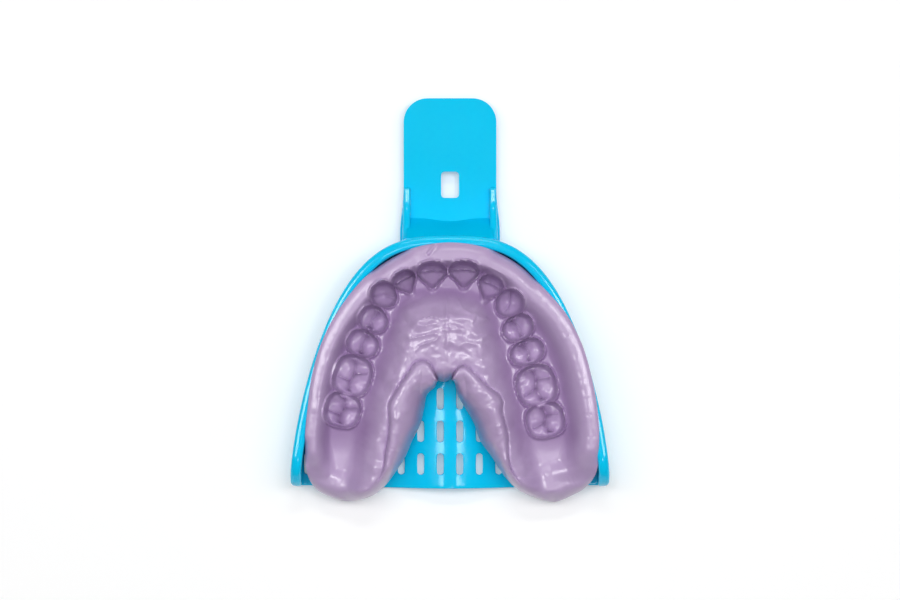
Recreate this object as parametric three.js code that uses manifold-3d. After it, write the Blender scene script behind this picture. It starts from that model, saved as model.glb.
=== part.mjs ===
// An upper-jaw impression tray with a set silicone impression in it.
//
// Two physical pieces: the tray, one plastic moulding (vaulted and slotted floor, outer wall, rolled rim and
// handle), and the impression, one body of silicone that is keyed to the tray through its slots.
//
// Frame: +Z up, out of the tray's open side; +Y towards the handle; millimetres. The origin is the centre of the
// bounding box in plan, on the plane that the tray's floor rests on.
import * as THREE from "three";
import { ConvexGeometry } from "three/addons/geometries/ConvexGeometry.js";
import { mergeVertices } from "three/addons/utils/BufferGeometryUtils.js";
import Module from "manifold-3d";

const wasm = await Module();
wasm.setup();

// ---- Driving dimensions: the tray ----
const RIM_HALF_WIDTH = 40; // outer edge of the rim, at the heels
const RIM_FRONT_Y = 16.1; // outer edge of the rim, at the front
const RIM_WIDEST_Y = -44; // the rim runs straight from here to the heels
const RIM_BLUNTNESS = 3.0; // superellipse powers of the arch, across and along
const RIM_TAPER = 1.35;
const HEEL_Y = -46.9; // rear end of the wall
const REAR_BOW = 0.7; // how far the floor's rear edge bulges past the heels
const WALL_HEIGHT = 17; // resting plane to the top of the rim
const WALL_THICKNESS = 1.5;
const WALL_DRAFT = 0.3; // the wall stands this much further in at the floor
const RIM_OVERHANG = 0.5; // the rolled rim stands this far outside the wall
const RIM_WIDTH = 2.7;
const RIM_DEPTH = 2.5;
const HEEL_WALL_HEIGHT = 8; // the wall runs down to this height at its rear ends
const HEEL_FALL_LENGTH = 8;
const FLOOR_THICKNESS = 2;
const VAULT_HEIGHT = 5; // rise of the floor under the palate
const VAULT_HALF_WIDTH = 17;
const VAULT_FRONT_Y = 6;
const VAULT_RAMP = 20;
const SLOT_WIDTH = 1.75;
const SLOT_LENGTH = 5.4;
const SLOT_PITCH_ACROSS = 4.94;
const SLOT_PITCH_ALONG = 8.25;
const SLOT_REAR_MARGIN = 3.5; // rear edge of the floor to the last row of slots
const SLOT_WALL_MARGIN = 0.3; // least land between a slot and the wall's inner face
const SLOT_NUDGE = 1.2; // an outermost slot moves in by up to this much to clear the wall

// ---- Driving dimensions: the handle ----
const HANDLE_TIP_Y = 50.95;
const HANDLE_HALF_WIDTH = 11.7;
const HANDLE_ROOT_HALF_WIDTH = 12.6; // the handle flares to this where it meets the wall
const HANDLE_FLARE_LENGTH = 11;
const HANDLE_CORNER = 6;
const HANDLE_UNDERSIDE_Z = 2.6;
const HANDLE_THICKNESS = 2.2;
const HOLE_WIDTH = 4.5;
const HOLE_LENGTH = 6.6;
const HOLE_CORNER = 0.9;
const HOLE_FROM_RIM = 13; // rim's outer edge to the hole's centre
const RIB_THICKNESS = 1.6;
const RIB_LENGTH = 12.4; // rim's outer edge to the rib's nose
const RIB_NOSE_HEIGHT = 2.4; // above the handle's face
const RIB_ROOT_HEIGHT = 7.5;
const ROOT_FILLET = 4.6; // hollow between the handle's face and the wall

// ---- Driving dimensions: the impression ----
const CLEARANCE = 0.3; // silicone to tray
const GUM_BELOW_RIM = 4; // top of the rim down to the surface around the tooth sockets
const HEEL_OVERHANG = 4.05; // the silicone bulges this far past the wall's rear ends
const ROLL_HEIGHT = 5.8; // border roll above the gum surface
const ROLL_WIDTH = 6.5;
const ROLL_EDGE_HEIGHT = 2.2; // foot of the border roll inside the rim, above the gum surface
const LIP_THICKNESS = 0.5; // edge of the roll where it spills over the rim
const INNER_ROLL_HEIGHT = 3; // roll along the gap between the arms
const HEEL_SLOPE = 0.16; // the arms get lower towards the heels, per mm
const DOME_HEIGHT = 8; // mould of the palate above the gum surface
const DOME_HALF_WIDTH = 17;
const DOME_HALF_LENGTH = 22;
const DOME_Y = -9;
const PLUG_RECESS = 0.4; // the silicone in a slot ends this far short of the resting plane
const SOCKET_FLOOR_CLEAR = 1.4; // least silicone between a socket and the tray's floor

// Inset of the silicone's outer edge from the rim's outer edge, by place along the rim: 0 at the left heel, 0.5 at
// the front and 1 at the right heel. It spills over the rim's inner half at the left and all of it at the right.
const OUTER_EDGE = [
  [0.022, 4.2], [0.072, 2.7], [0.121, 1.8], [0.169, 0.9], [0.22, 0.6], [0.275, 1.2], [0.338, 2.3], [0.38, 3.0],
  [0.437, 2.9], [0.5, 2.8], [0.563, 2.9], [0.62, 3.0], [0.66, 2.7], [0.727, 0.7], [0.782, -0.1], [0.832, 0.1],
  [0.881, 0.6], [0.929, 1.7], [0.978, 3.4],
];
// The heels and the gap between the arms, as shares of the rim's half width and of the length from the heels to the
// rim's front; a negative second share counts in HEEL_OVERHANGs past the heels.
const LEFT_HEEL_OUTSIDE = [[-0.705, -0.86], [-0.775, -0.6], [-0.85, -0.13]];
const LEFT_HEEL_INSIDE = [[-0.58, -0.88], [-0.488, -0.6], [-0.42, -0.1]];
const GAP_EDGE = [
  [-0.344, 0.055], [-0.281, 0.118], [-0.238, 0.182], [-0.188, 0.246], [-0.163, 0.309], [-0.145, 0.365],
  [-0.11, 0.402], [-0.056, 0.428], [-0.006, 0.417], [0.03, 0.423], [0.05, 0.372], [0.125, 0.309],
  [0.178, 0.246], [0.206, 0.182], [0.269, 0.118], [0.325, 0.055],
];
const RIGHT_HEEL_INSIDE = [[0.41, -0.1], [0.5, -0.6], [0.6, -1]];
const RIGHT_HEEL_OUTSIDE = [[0.85, -0.13], [0.769, -0.6], [0.7, -0.9]];

// Socket shapes by kind of tooth. The mouth narrows inwards by the pinch; each group of cusp tips is one hollow, its
// places given as shares of the socket's size along and across the row, outwards positive.
const KINDS = {
  incisor: { pinch: 0.5, hollows: [[[-0.3, 0.13], [0.3, 0.13]]] },
  canine: { pinch: 0.25, hollows: [[[0, 0.1]]] },
  premolar: { pinch: 0.12, hollows: [[[0, 0.25]], [[0, -0.25]]] },
  molar: { pinch: 0.06, hollows: [[[-0.23, 0.24]], [[0.23, 0.24]], [[-0.23, -0.24]], [[0.23, -0.24]]] },
};
// Place along the rim, inset of the socket's centre, size along and across the row, depth under the gum surface.
const SOCKETS = [
  ["molar", 0.1346, 10.4, 8.4, 9.0, 6.2], ["molar", 0.1891, 10.3, 10.6, 10.0, 6.4],
  ["premolar", 0.246, 10.1, 6.8, 8.4, 6.6], ["premolar", 0.2922, 10.1, 7.2, 8.0, 7.2],
  ["canine", 0.3449, 8.4, 7.4, 7.2, 8.6], ["incisor", 0.402, 9.2, 6.4, 6.0, 8.2],
  ["incisor", 0.4724, 8.5, 8.6, 7.0, 8.8], ["incisor", 0.5209, 8.9, 8.4, 7.0, 8.8],
  ["incisor", 0.5869, 11.1, 6.4, 6.0, 8.2], ["canine", 0.6563, 11.2, 7.2, 7.2, 8.6],
  ["premolar", 0.7113, 13.1, 7.0, 8.4, 7.2], ["premolar", 0.7566, 13.5, 6.4, 8.6, 6.6],
  ["molar", 0.8112, 14.1, 10.6, 10.0, 6.4], ["molar", 0.8789, 14.2, 9.0, 9.0, 6.2],
];

const GUM_Z = WALL_HEIGHT - GUM_BELOW_RIM;

const TRAY_FINISH = new THREE.MeshStandardMaterial({ color: 0x05b4ea, roughness: 0.28, metalness: 0 });
const SILICONE_FINISH = new THREE.MeshStandardMaterial({ color: 0xb493cc, roughness: 0.42, metalness: 0 });

// ---- Solids from three.js geometries ----
function solidOf(geometry) {
  const bare = geometry.index ? geometry.toNonIndexed() : geometry.clone();
  for (const name of Object.keys(bare.attributes)) if (name !== "position") bare.deleteAttribute(name);
  const merged = mergeVertices(bare, 1e-4);
  return new wasm.Manifold(
    new wasm.Mesh({
      numProp: 3,
      vertProperties: merged.attributes.position.array,
      triVerts: new Uint32Array(merged.index.array),
    }),
  );
}

function meshOf(name, solid, material) {
  const { vertProperties, triVerts } = solid.getMesh();
  const geometry = new THREE.BufferGeometry();
  geometry.setAttribute("position", new THREE.BufferAttribute(vertProperties, 3));
  geometry.setIndex(new THREE.BufferAttribute(triVerts, 1));
  geometry.computeVertexNormals();
  const mesh = new THREE.Mesh(geometry, material);
  mesh.name = name;
  return mesh;
}

const joined = (solids) => solids.reduce((whole, next) => whole.add(next));

// A closed body from rings of points, each ring joined to the next. The ends are capped by ear clipping in the
// section's own plane, or as fans where the section has straight rows of points.
function loftOf(rings, fanEnds) {
  const count = rings[0].length;
  const points = rings.flat().map((p) => p.at);
  const index = [];
  for (let r = 0; r + 1 < rings.length; r++)
    for (let i = 0; i < count; i++) {
      const a = r * count + i;
      const b = r * count + ((i + 1) % count);
      index.push(a, b, b + count, a, b + count, a + count);
    }
  const cap = (ring, offset, isFirst) => {
    const face = (a, b, c) => (isFirst ? index.push(a, c, b) : index.push(a, b, c));
    if (fanEnds) {
      const hub = points.length;
      points.push(ring.reduce((sum, p) => sum.add(p.at), new THREE.Vector3()).divideScalar(count));
      for (let i = 0; i < count; i++) face(hub, offset + i, offset + ((i + 1) % count));
    } else {
      const flat = ring.map((p) => new THREE.Vector2(p.u, p.v));
      for (const [a, b, c] of THREE.ShapeUtils.triangulateShape(flat, [])) face(offset + a, offset + b, offset + c);
    }
  };
  const lastOffset = points.length - count;
  cap(rings[0], 0, true);
  cap(rings.at(-1), lastOffset, false);
  const geometry = new THREE.BufferGeometry().setFromPoints(points);
  geometry.setIndex(index);
  return solidOf(geometry);
}

// A slab over a grid of X and Y lines, between two height functions.
function slabOf(xs, ys, bottomAt, topAt) {
  const columns = xs.length;
  const layer = columns * ys.length;
  const points = [bottomAt, topAt].flatMap((heightAt) =>
    ys.flatMap((y) => xs.map((x) => new THREE.Vector3(x, y, heightAt(x, y)))),
  );
  const index = [];
  const quad = (a, b, c, d) => index.push(a, b, c, a, c, d);
  const at = (i, j, top) => j * columns + i + (top ? layer : 0);
  for (let j = 0; j + 1 < ys.length; j++)
    for (let i = 0; i + 1 < columns; i++) {
      quad(at(i, j, 1), at(i + 1, j, 1), at(i + 1, j + 1, 1), at(i, j + 1, 1));
      quad(at(i, j, 0), at(i, j + 1, 0), at(i + 1, j + 1, 0), at(i + 1, j, 0));
    }
  for (let i = 0; i + 1 < columns; i++) {
    const back = ys.length - 1;
    quad(at(i, 0, 0), at(i + 1, 0, 0), at(i + 1, 0, 1), at(i, 0, 1));
    quad(at(i, back, 1), at(i + 1, back, 1), at(i + 1, back, 0), at(i, back, 0));
  }
  for (let j = 0; j + 1 < ys.length; j++) {
    const side = columns - 1;
    quad(at(0, j, 1), at(0, j + 1, 1), at(0, j + 1, 0), at(0, j, 0));
    quad(at(side, j, 0), at(side, j + 1, 0), at(side, j + 1, 1), at(side, j, 1));
  }
  const geometry = new THREE.BufferGeometry().setFromPoints(points);
  geometry.setIndex(index);
  return solidOf(geometry);
}

function prismOf(points, fromZ, toZ) {
  const geometry = new THREE.ExtrudeGeometry(new THREE.Shape(points), { depth: toZ - fromZ, bevelEnabled: false });
  return solidOf(geometry.translate(0, 0, fromZ));
}

// A side profile in the YZ plane, extruded across from one X to another.
function sideProfile(points, fromX, toX) {
  const geometry = new THREE.ExtrudeGeometry(new THREE.Shape(points), { depth: toX - fromX, bevelEnabled: false });
  return solidOf(geometry.rotateX(Math.PI / 2).rotateZ(Math.PI / 2).translate(fromX, 0, 0));
}

// ---- The arch that everything follows ----
const signedPower = (value, power) => Math.sign(value) * Math.abs(value) ** power;

function archCurve() {
  const points = [new THREE.Vector3(-RIM_HALF_WIDTH, HEEL_Y, 0)];
  const steps = 120;
  for (let i = 0; i <= steps; i++) {
    const turn = ((i / steps) * 2 - 1) * (Math.PI / 2);
    const x = RIM_HALF_WIDTH * signedPower(Math.sin(turn), 2 / RIM_BLUNTNESS);
    const y = RIM_WIDEST_Y + (RIM_FRONT_Y - RIM_WIDEST_Y) * Math.abs(Math.cos(turn)) ** (2 / RIM_TAPER);
    points.push(new THREE.Vector3(x, y, 0));
  }
  points.push(new THREE.Vector3(RIM_HALF_WIDTH, HEEL_Y, 0));
  const curve = new THREE.CatmullRomCurve3(points, false, "centripetal");
  curve.arcLengthDivisions = 2000;
  return curve;
}

const flatPoints = (curve, count) => curve.getSpacedPoints(count).map((p) => new THREE.Vector2(p.x, p.y));
const ARCH = archCurve();
const RIM_LINE = flatPoints(ARCH, 160);

function distanceTo(line, x, y) {
  let least = Infinity;
  for (let i = 0; i + 1 < line.length; i++) {
    const [a, b] = [line[i], line[i + 1]];
    const [runX, runY] = [b.x - a.x, b.y - a.y];
    const share = ((x - a.x) * runX + (y - a.y) * runY) / (runX * runX + runY * runY);
    const held = Math.min(1, Math.max(0, share));
    least = Math.min(least, Math.hypot(x - a.x - runX * held, y - a.y - runY * held));
  }
  return least;
}

// Point and outward direction at a place along the rim, 0 to 1, and a point set in from the rim.
function archPlace(place) {
  const at = ARCH.getPointAt(place);
  const along = ARCH.getTangentAt(place);
  return { at: new THREE.Vector2(at.x, at.y), out: new THREE.Vector2(-along.y, along.x) };
}

function insetPoint(place, inset) {
  const { at, out } = archPlace(place);
  return at.addScaledVector(out, -inset);
}

// The region inside the rim, set in by an inset and closed straight across at a rear line.
function insideOutline(inset, rearY, steps = 48) {
  const points = [];
  for (let i = 0; i <= steps; i++) points.push(insetPoint(i / steps, inset));
  points[0].y = rearY;
  points[steps].y = rearY;
  return points.reverse();
}

// ---- The tray ----
const wallInnerInset = RIM_OVERHANG + WALL_DRAFT + WALL_THICKNESS;
const handleTopZ = HANDLE_UNDERSIDE_Z + HANDLE_THICKNESS;

function smoothStep(share) {
  const t = Math.min(1, Math.max(0, share));
  return t * t * (3 - 2 * t);
}

// Rise of the floor's underside under the palate.
function vaultAt(x, y) {
  const across = Math.min(1, Math.abs(x) / VAULT_HALF_WIDTH);
  return VAULT_HEIGHT * (1 - across * across) ** 2 * smoothStep((VAULT_FRONT_Y - y) / VAULT_RAMP);
}

// Height of the rim along the arch: level, and falling in a quarter ellipse at the heels.
function rimTopAt(y) {
  const fall = Math.min(1, Math.max(0, (HEEL_Y + HEEL_FALL_LENGTH - y) / HEEL_FALL_LENGTH));
  return HEEL_WALL_HEIGHT + (WALL_HEIGHT - HEEL_WALL_HEIGHT) * Math.sqrt(1 - 0.98 * fall * fall);
}

// Wall, rim and the edge of the floor in section: distance out from the rim's edge, and height.
function wallSection(top, floorEdge) {
  const outer = -RIM_OVERHANG;
  const base = outer - WALL_DRAFT;
  const inner = base - WALL_THICKNESS;
  const rimInner = -RIM_WIDTH;
  const rimUnder = top - RIM_DEPTH;
  return [
    [-floorEdge, 0], [base - 1.5, 0], [base - 0.45, 0.45], [base, 1.5], [outer, rimUnder],
    [-0.1, rimUnder + 0.5], [0, top - 1.25], [-0.35, top - 0.45], [-RIM_WIDTH / 2, top],
    [rimInner + 0.35, top - 0.4], [rimInner, top - 1.2], [rimInner + 0.3, rimUnder + 0.3],
    [outer - WALL_THICKNESS, rimUnder - 0.2], [inner, FLOOR_THICKNESS + 1.2],
    [inner - 0.35, FLOOR_THICKNESS + 0.35], [inner - 1.2, FLOOR_THICKNESS], [-floorEdge, FLOOR_THICKNESS],
  ];
}

// The section grown all round by a gap, for cutting what fits in the tray.
function grown(section, gap) {
  const flat = section.map(([u, v]) => new THREE.Vector2(u, v));
  return flat.map((p, i) => {
    const before = p.clone().sub(flat.at(i - 1)).normalize();
    const after = flat[(i + 1) % flat.length].clone().sub(p).normalize();
    const away = new THREE.Vector2(before.y + after.y, -before.x - after.x).normalize();
    const lean = Math.max(0.5, away.dot(new THREE.Vector2(after.y, -after.x)));
    return [p.x + (away.x * gap) / lean, p.y + (away.y * gap) / lean];
  });
}

const FLOOR_EDGE = 6; // the wall's sweep carries this much of the floor
const WALL_STATIONS = 46;
const END_CHAMFER = 0.5; // the wall's rear ends

// Evenly spaced shares from 0 to 1, drawn closer together towards both ends.
function sharesOf(count, closeness) {
  return Array.from({ length: count + 1 }, (_, i) => {
    const even = i / count;
    return even + closeness * (0.5 * (1 - Math.cos(Math.PI * even)) - even);
  });
}

function wallSolid(gap) {
  const ringAt = (place, grow, back) => {
    const { at, out } = archPlace(place);
    const section = wallSection(rimTopAt(at.y), FLOOR_EDGE);
    return grown(section, grow).map(([u, v]) => ({
      u,
      v,
      at: new THREE.Vector3(at.x + out.x * u, at.y + out.y * u - back, v),
    }));
  };
  const chamfer = END_CHAMFER / ARCH.getLength();
  const rings = sharesOf(WALL_STATIONS, 0.6).map((share) => ringAt(chamfer + share * (1 - 2 * chamfer), gap, 0));
  return loftOf([ringAt(0, gap - END_CHAMFER / 2, gap), ...rings, ringAt(1, gap - END_CHAMFER / 2, gap)]);
}

const FIRST_SLOT_ROW_Y = HEEL_Y - REAR_BOW + SLOT_REAR_MARGIN + SLOT_LENGTH / 2;

// The vaulted floor, over a grid that has one slot to a cell, cut to the wall's sweep and to the bowed rear edge.
function floorSolid(gap, undersideAt) {
  const across = Math.ceil(RIM_HALF_WIDTH / SLOT_PITCH_ACROSS);
  const along = Math.ceil((RIM_FRONT_Y - FIRST_SLOT_ROW_Y) / SLOT_PITCH_ALONG);
  const xs = Array.from({ length: 2 * across + 1 }, (_, i) => (i - across) * SLOT_PITCH_ACROSS);
  const ys = Array.from({ length: along + 2 }, (_, j) => FIRST_SLOT_ROW_Y + (j - 0.5) * SLOT_PITCH_ALONG);
  ys.unshift(HEEL_Y - REAR_BOW - 2);
  const slab = slabOf(xs, ys, undersideAt, (x, y) => vaultAt(x, y) + FLOOR_THICKNESS + gap);
  const outline = insideOutline(FLOOR_EDGE - 1, HEEL_Y - gap, 40);
  const rearSteps = 12;
  const halfWidth = outline.at(-1).x;
  for (let i = 1; i < rearSteps; i++) {
    const share = (2 * i) / rearSteps - 1;
    outline.push(new THREE.Vector2(-share * halfWidth, HEEL_Y - gap - REAR_BOW * (1 - share * share)));
  }
  return slab.intersect(prismOf(outline, -3, WALL_HEIGHT));
}

// Centres of the floor's slots: a grid centred on the floor, kept inside the wall.
function slotCentres() {
  const centres = [];
  const land = wallInnerInset + SLOT_WALL_MARGIN + SLOT_WIDTH / 2;
  for (let y = FIRST_SLOT_ROW_Y; y < RIM_FRONT_Y - land - SLOT_LENGTH / 2; y += SLOT_PITCH_ALONG) {
    const limit = halfWidthAt(y + SLOT_LENGTH / 2) - land;
    for (let x = SLOT_PITCH_ACROSS / 2; x - SLOT_NUDGE < limit; x += SLOT_PITCH_ACROSS)
      for (const side of [-1, 1]) centres.push(new THREE.Vector2(side * Math.min(x, limit), y));
  }
  const straight = (SLOT_LENGTH - SLOT_WIDTH) / 2;
  const least = wallInnerInset + SLOT_WIDTH / 2;
  return centres.filter(({ x, y }) => distanceTo(RIM_LINE, x, y + straight) > least);
}

// Half width of the arch at a Y, from the superellipse that it follows.
function halfWidthAt(y) {
  const along = Math.min(1, Math.max(0, (y - RIM_WIDEST_Y) / (RIM_FRONT_Y - RIM_WIDEST_Y)));
  return RIM_HALF_WIDTH * (1 - along ** RIM_TAPER) ** (1 / RIM_BLUNTNESS);
}

// A slot-shaped bar, made narrower by a shrink, whose lower end may follow a height function.
function slotBar(centre, shrink, curveSegments, lowerEndAt) {
  const radius = SLOT_WIDTH / 2 - shrink;
  const straight = SLOT_LENGTH / 2 - SLOT_WIDTH / 2;
  const shape = new THREE.Shape();
  shape.absarc(centre.x, centre.y + straight, radius, 0, Math.PI);
  shape.absarc(centre.x, centre.y - straight, radius, Math.PI, 2 * Math.PI);
  const depth = VAULT_HEIGHT + FLOOR_THICKNESS + 3;
  const geometry = new THREE.ExtrudeGeometry(shape, { depth, bevelEnabled: false, curveSegments });
  const { position } = geometry.attributes;
  for (let i = 0; i < position.count; i++)
    if (position.getZ(i) < depth / 2) position.setZ(i, lowerEndAt(position.getX(i), position.getY(i)));
  return solidOf(geometry);
}

function handlePlate() {
  const root = RIM_FRONT_Y - RIM_WIDTH - 2;
  const flareEnd = RIM_FRONT_Y + RIB_LENGTH;
  const flareStart = flareEnd - HANDLE_FLARE_LENGTH;
  const shape = new THREE.Shape();
  shape.moveTo(-HANDLE_ROOT_HALF_WIDTH - 0.4, root);
  shape.lineTo(HANDLE_ROOT_HALF_WIDTH + 0.4, root);
  shape.lineTo(HANDLE_ROOT_HALF_WIDTH, flareStart - 1.5);
  shape.quadraticCurveTo(HANDLE_HALF_WIDTH, flareStart + 1.5, HANDLE_HALF_WIDTH, flareEnd);
  shape.lineTo(HANDLE_HALF_WIDTH, HANDLE_TIP_Y - HANDLE_CORNER);
  shape.absarc(HANDLE_HALF_WIDTH - HANDLE_CORNER, HANDLE_TIP_Y - HANDLE_CORNER, HANDLE_CORNER, 0, Math.PI / 2);
  shape.absarc(HANDLE_CORNER - HANDLE_HALF_WIDTH, HANDLE_TIP_Y - HANDLE_CORNER, HANDLE_CORNER, Math.PI / 2, Math.PI);
  shape.lineTo(-HANDLE_HALF_WIDTH, flareEnd);
  shape.quadraticCurveTo(-HANDLE_HALF_WIDTH, flareStart + 1.5, -HANDLE_ROOT_HALF_WIDTH, flareStart - 1.5);
  shape.holes.push(handleHole());
  const geometry = new THREE.ExtrudeGeometry(shape, {
    depth: HANDLE_THICKNESS,
    bevelEnabled: false,
    curveSegments: 10,
  });
  return solidOf(geometry.translate(0, 0, HANDLE_UNDERSIDE_Z));
}

function handleHole() {
  const middle = RIM_FRONT_Y + HOLE_FROM_RIM;
  const x = HOLE_WIDTH / 2 - HOLE_CORNER;
  const y = HOLE_LENGTH / 2 - HOLE_CORNER;
  const hole = new THREE.Path();
  hole.absarc(x, middle + y, HOLE_CORNER, 0, Math.PI / 2);
  hole.absarc(-x, middle + y, HOLE_CORNER, Math.PI / 2, Math.PI);
  hole.absarc(-x, middle - y, HOLE_CORNER, Math.PI, 1.5 * Math.PI);
  hole.absarc(x, middle - y, HOLE_CORNER, 1.5 * Math.PI, 2 * Math.PI);
  return hole;
}

// A side rib of the handle: a rounded nose, then a hollow curve up to the wall.
function handleRib(side) {
  const nose = RIM_FRONT_Y + RIB_LENGTH;
  const root = RIM_FRONT_Y - RIM_WIDTH - 2;
  const bed = handleTopZ - HANDLE_THICKNESS / 2;
  const noseTop = handleTopZ + RIB_NOSE_HEIGHT;
  const rootTop = handleTopZ + RIB_ROOT_HEIGHT;
  const profile = new THREE.Shape();
  profile.moveTo(root, bed);
  profile.lineTo(nose, bed);
  profile.lineTo(nose, handleTopZ + RIB_NOSE_HEIGHT / 2);
  profile.quadraticCurveTo(nose, noseTop, nose - RIB_NOSE_HEIGHT / 2, noseTop);
  profile.quadraticCurveTo(RIM_FRONT_Y + RIB_LENGTH / 3, noseTop, RIM_FRONT_Y - RIM_OVERHANG, rootTop);
  profile.lineTo(root, rootTop);
  const inner = HANDLE_HALF_WIDTH - RIB_THICKNESS;
  const [from, to] = side < 0 ? [-HANDLE_HALF_WIDTH, -inner] : [inner, HANDLE_HALF_WIDTH];
  return sideProfile(profile.getPoints(6), from, to);
}

// The flared foot between a rib and the wall: its crest runs inwards while its base runs outwards.
function ribFoot(side) {
  const root = RIM_FRONT_Y - RIM_WIDTH - 2;
  const front = RIM_FRONT_Y + 3.4;
  const crestZ = handleTopZ + RIB_ROOT_HEIGHT - 1;
  const inner = HANDLE_HALF_WIDTH - RIB_THICKNESS;
  const corners = [
    [inner, root, handleTopZ - 1], [HANDLE_ROOT_HALF_WIDTH, root, HANDLE_UNDERSIDE_Z],
    [HANDLE_ROOT_HALF_WIDTH, RIM_FRONT_Y - 1.5, HANDLE_UNDERSIDE_Z], [HANDLE_HALF_WIDTH, front, HANDLE_UNDERSIDE_Z],
    [inner, front, handleTopZ - 1], [HANDLE_HALF_WIDTH - 0.4, front - 0.4, crestZ - 2.5],
    [inner, RIM_FRONT_Y, crestZ], [inner, root, crestZ],
  ];
  const points = corners.map(([x, y, z]) => new THREE.Vector3(side * x, y, z));
  return solidOf(new ConvexGeometry(points));
}

// The hollow fillet between the handle's face and the wall.
function rootFillet() {
  const root = RIM_FRONT_Y - RIM_WIDTH - 2;
  const profile = new THREE.Shape();
  const bed = handleTopZ - HANDLE_THICKNESS / 2;
  const foot = RIM_FRONT_Y - RIM_OVERHANG + ROOT_FILLET;
  profile.moveTo(root, bed);
  profile.lineTo(foot, bed);
  profile.lineTo(foot, handleTopZ + 0.05);
  profile.quadraticCurveTo(RIM_FRONT_Y, handleTopZ + 0.4, RIM_FRONT_Y - RIM_OVERHANG, handleTopZ + ROOT_FILLET);
  profile.lineTo(root, handleTopZ + ROOT_FILLET);
  const reach = HANDLE_HALF_WIDTH - RIB_THICKNESS / 2;
  return sideProfile(profile.getPoints(6), -reach, reach);
}

function traySolid() {
  const handle = joined([
    handlePlate(), rootFillet(), ...[-1, 1].map(handleRib), ...[-1, 1].map(ribFoot),
  ]);
  // The handle's root ends in the middle of the wall's thickness.
  const midWall = insideOutline(RIM_OVERHANG + WALL_DRAFT + WALL_THICKNESS / 2, HEEL_Y);
  const rootedHandle = handle.subtract(prismOf(midWall, -1, WALL_HEIGHT + 1));
  const shell = wallSolid(0).add(floorSolid(0, vaultAt));
  const slots = joined(slotCentres().map((centre) => slotBar(centre, 0, 3, () => -1)));
  return shell.subtract(slots).add(rootedHandle);
}

// ---- The impression ----
// A point from shares of the rim's half width and of the tray's length, or of the overhang past the heels.
function sharePoint([across, along]) {
  const unit = along < 0 ? HEEL_OVERHANG : RIM_FRONT_Y - HEEL_Y;
  return new THREE.Vector2(across * RIM_HALF_WIDTH, HEEL_Y + along * unit);
}

function edgeCurve(points) {
  return new THREE.CatmullRomCurve3(points.map((p) => new THREE.Vector3(p.x, p.y, 0)), false, "centripetal");
}

const OUTSIDE = edgeCurve([
  ...LEFT_HEEL_OUTSIDE.map(sharePoint), ...OUTER_EDGE.map(([place, inset]) => insetPoint(place, inset)),
  ...RIGHT_HEEL_OUTSIDE.map(sharePoint),
]);
const INSIDE = edgeCurve(
  [...LEFT_HEEL_INSIDE, ...GAP_EDGE, ...RIGHT_HEEL_INSIDE].map(sharePoint),
);
const OUTSIDE_LINE = flatPoints(OUTSIDE, 90);
const INSIDE_LINE = flatPoints(INSIDE, 60);
const RIGHT_END = [OUTSIDE_LINE.at(-1), INSIDE_LINE.at(-1)];
const LEFT_END = [OUTSIDE_LINE[0], INSIDE_LINE[0]];

// A roll along an edge: from its foot up to its crest at a third of its width, then down to nothing.
function rollAt(distance, foot, height, width) {
  const crest = width / 3;
  if (distance < crest) return foot + (height - foot) * Math.sqrt(1 - (1 - distance / crest) ** 2);
  return height * 0.5 * (1 + Math.cos(Math.PI * Math.min(1, (distance - crest) / (width - crest))));
}

// Foot of the border roll above the gum surface: low inside the rim, and on top of it where it spills over.
function rollFootAt(x, y) {
  const spill = smoothStep((RIM_WIDTH - 0.3 - distanceTo(RIM_LINE, x, y)) / 1.2);
  const overRim = WALL_HEIGHT + CLEARANCE + LIP_THICKNESS - GUM_Z;
  return ROLL_EDGE_HEIGHT + spill * (overRim - ROLL_EDGE_HEIGHT);
}

// Height of the impression's upper surface, without the sockets.
function surfaceAt(x, y) {
  const across = x / DOME_HALF_WIDTH;
  const along = (y - DOME_Y) / DOME_HALF_LENGTH;
  const dome = DOME_HEIGHT * Math.max(0, 1 - across * across - along * along) ** 0.8;
  const fromOutside = Math.min(...[OUTSIDE_LINE, LEFT_END, RIGHT_END].map((line) => distanceTo(line, x, y)));
  const fromInside = distanceTo(INSIDE_LINE, x, y);
  const outer = rollAt(fromOutside, rollFootAt(x, y), ROLL_HEIGHT, ROLL_WIDTH);
  const inner = rollAt(fromInside, 0, INNER_ROLL_HEIGHT, ROLL_WIDTH);
  const heelFall = HEEL_SLOPE * Math.max(0, DOME_Y - DOME_HALF_LENGTH - y);
  // The rounding of the inner edge also takes down the dome where it runs up to the gap.
  const rounded = Math.max(dome, inner) - 1.5 * (1 - Math.sqrt(smoothStep(fromInside / 2)));
  return GUM_Z + Math.max(rounded, outer * smoothStep(fromInside / 2)) - heelFall;
}

const EDGE_OFFSETS = [0, 0.35, 1.3, 2.8, 4.6]; // rows of points that run along both edges, from the edge
const MIDDLE_ROWS = 8;
const FULL_LINE = 24; // a line across the body shorter than this has its offsets shrunk

// Shares of the way across the body at which the surface has its points.
function crossShares(length) {
  const unit = length < FULL_LINE ? 1 / FULL_LINE : 1 / length;
  const near = EDGE_OFFSETS.map((offset) => offset * unit);
  const far = near.map((share) => 1 - share).reverse();
  const between = Array.from({ length: MIDDLE_ROWS }, (_, i) => {
    return near.at(-1) + ((far[0] - near.at(-1)) * (i + 1)) / (MIDDLE_ROWS + 1);
  });
  return [...near, ...between, ...far];
}

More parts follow.
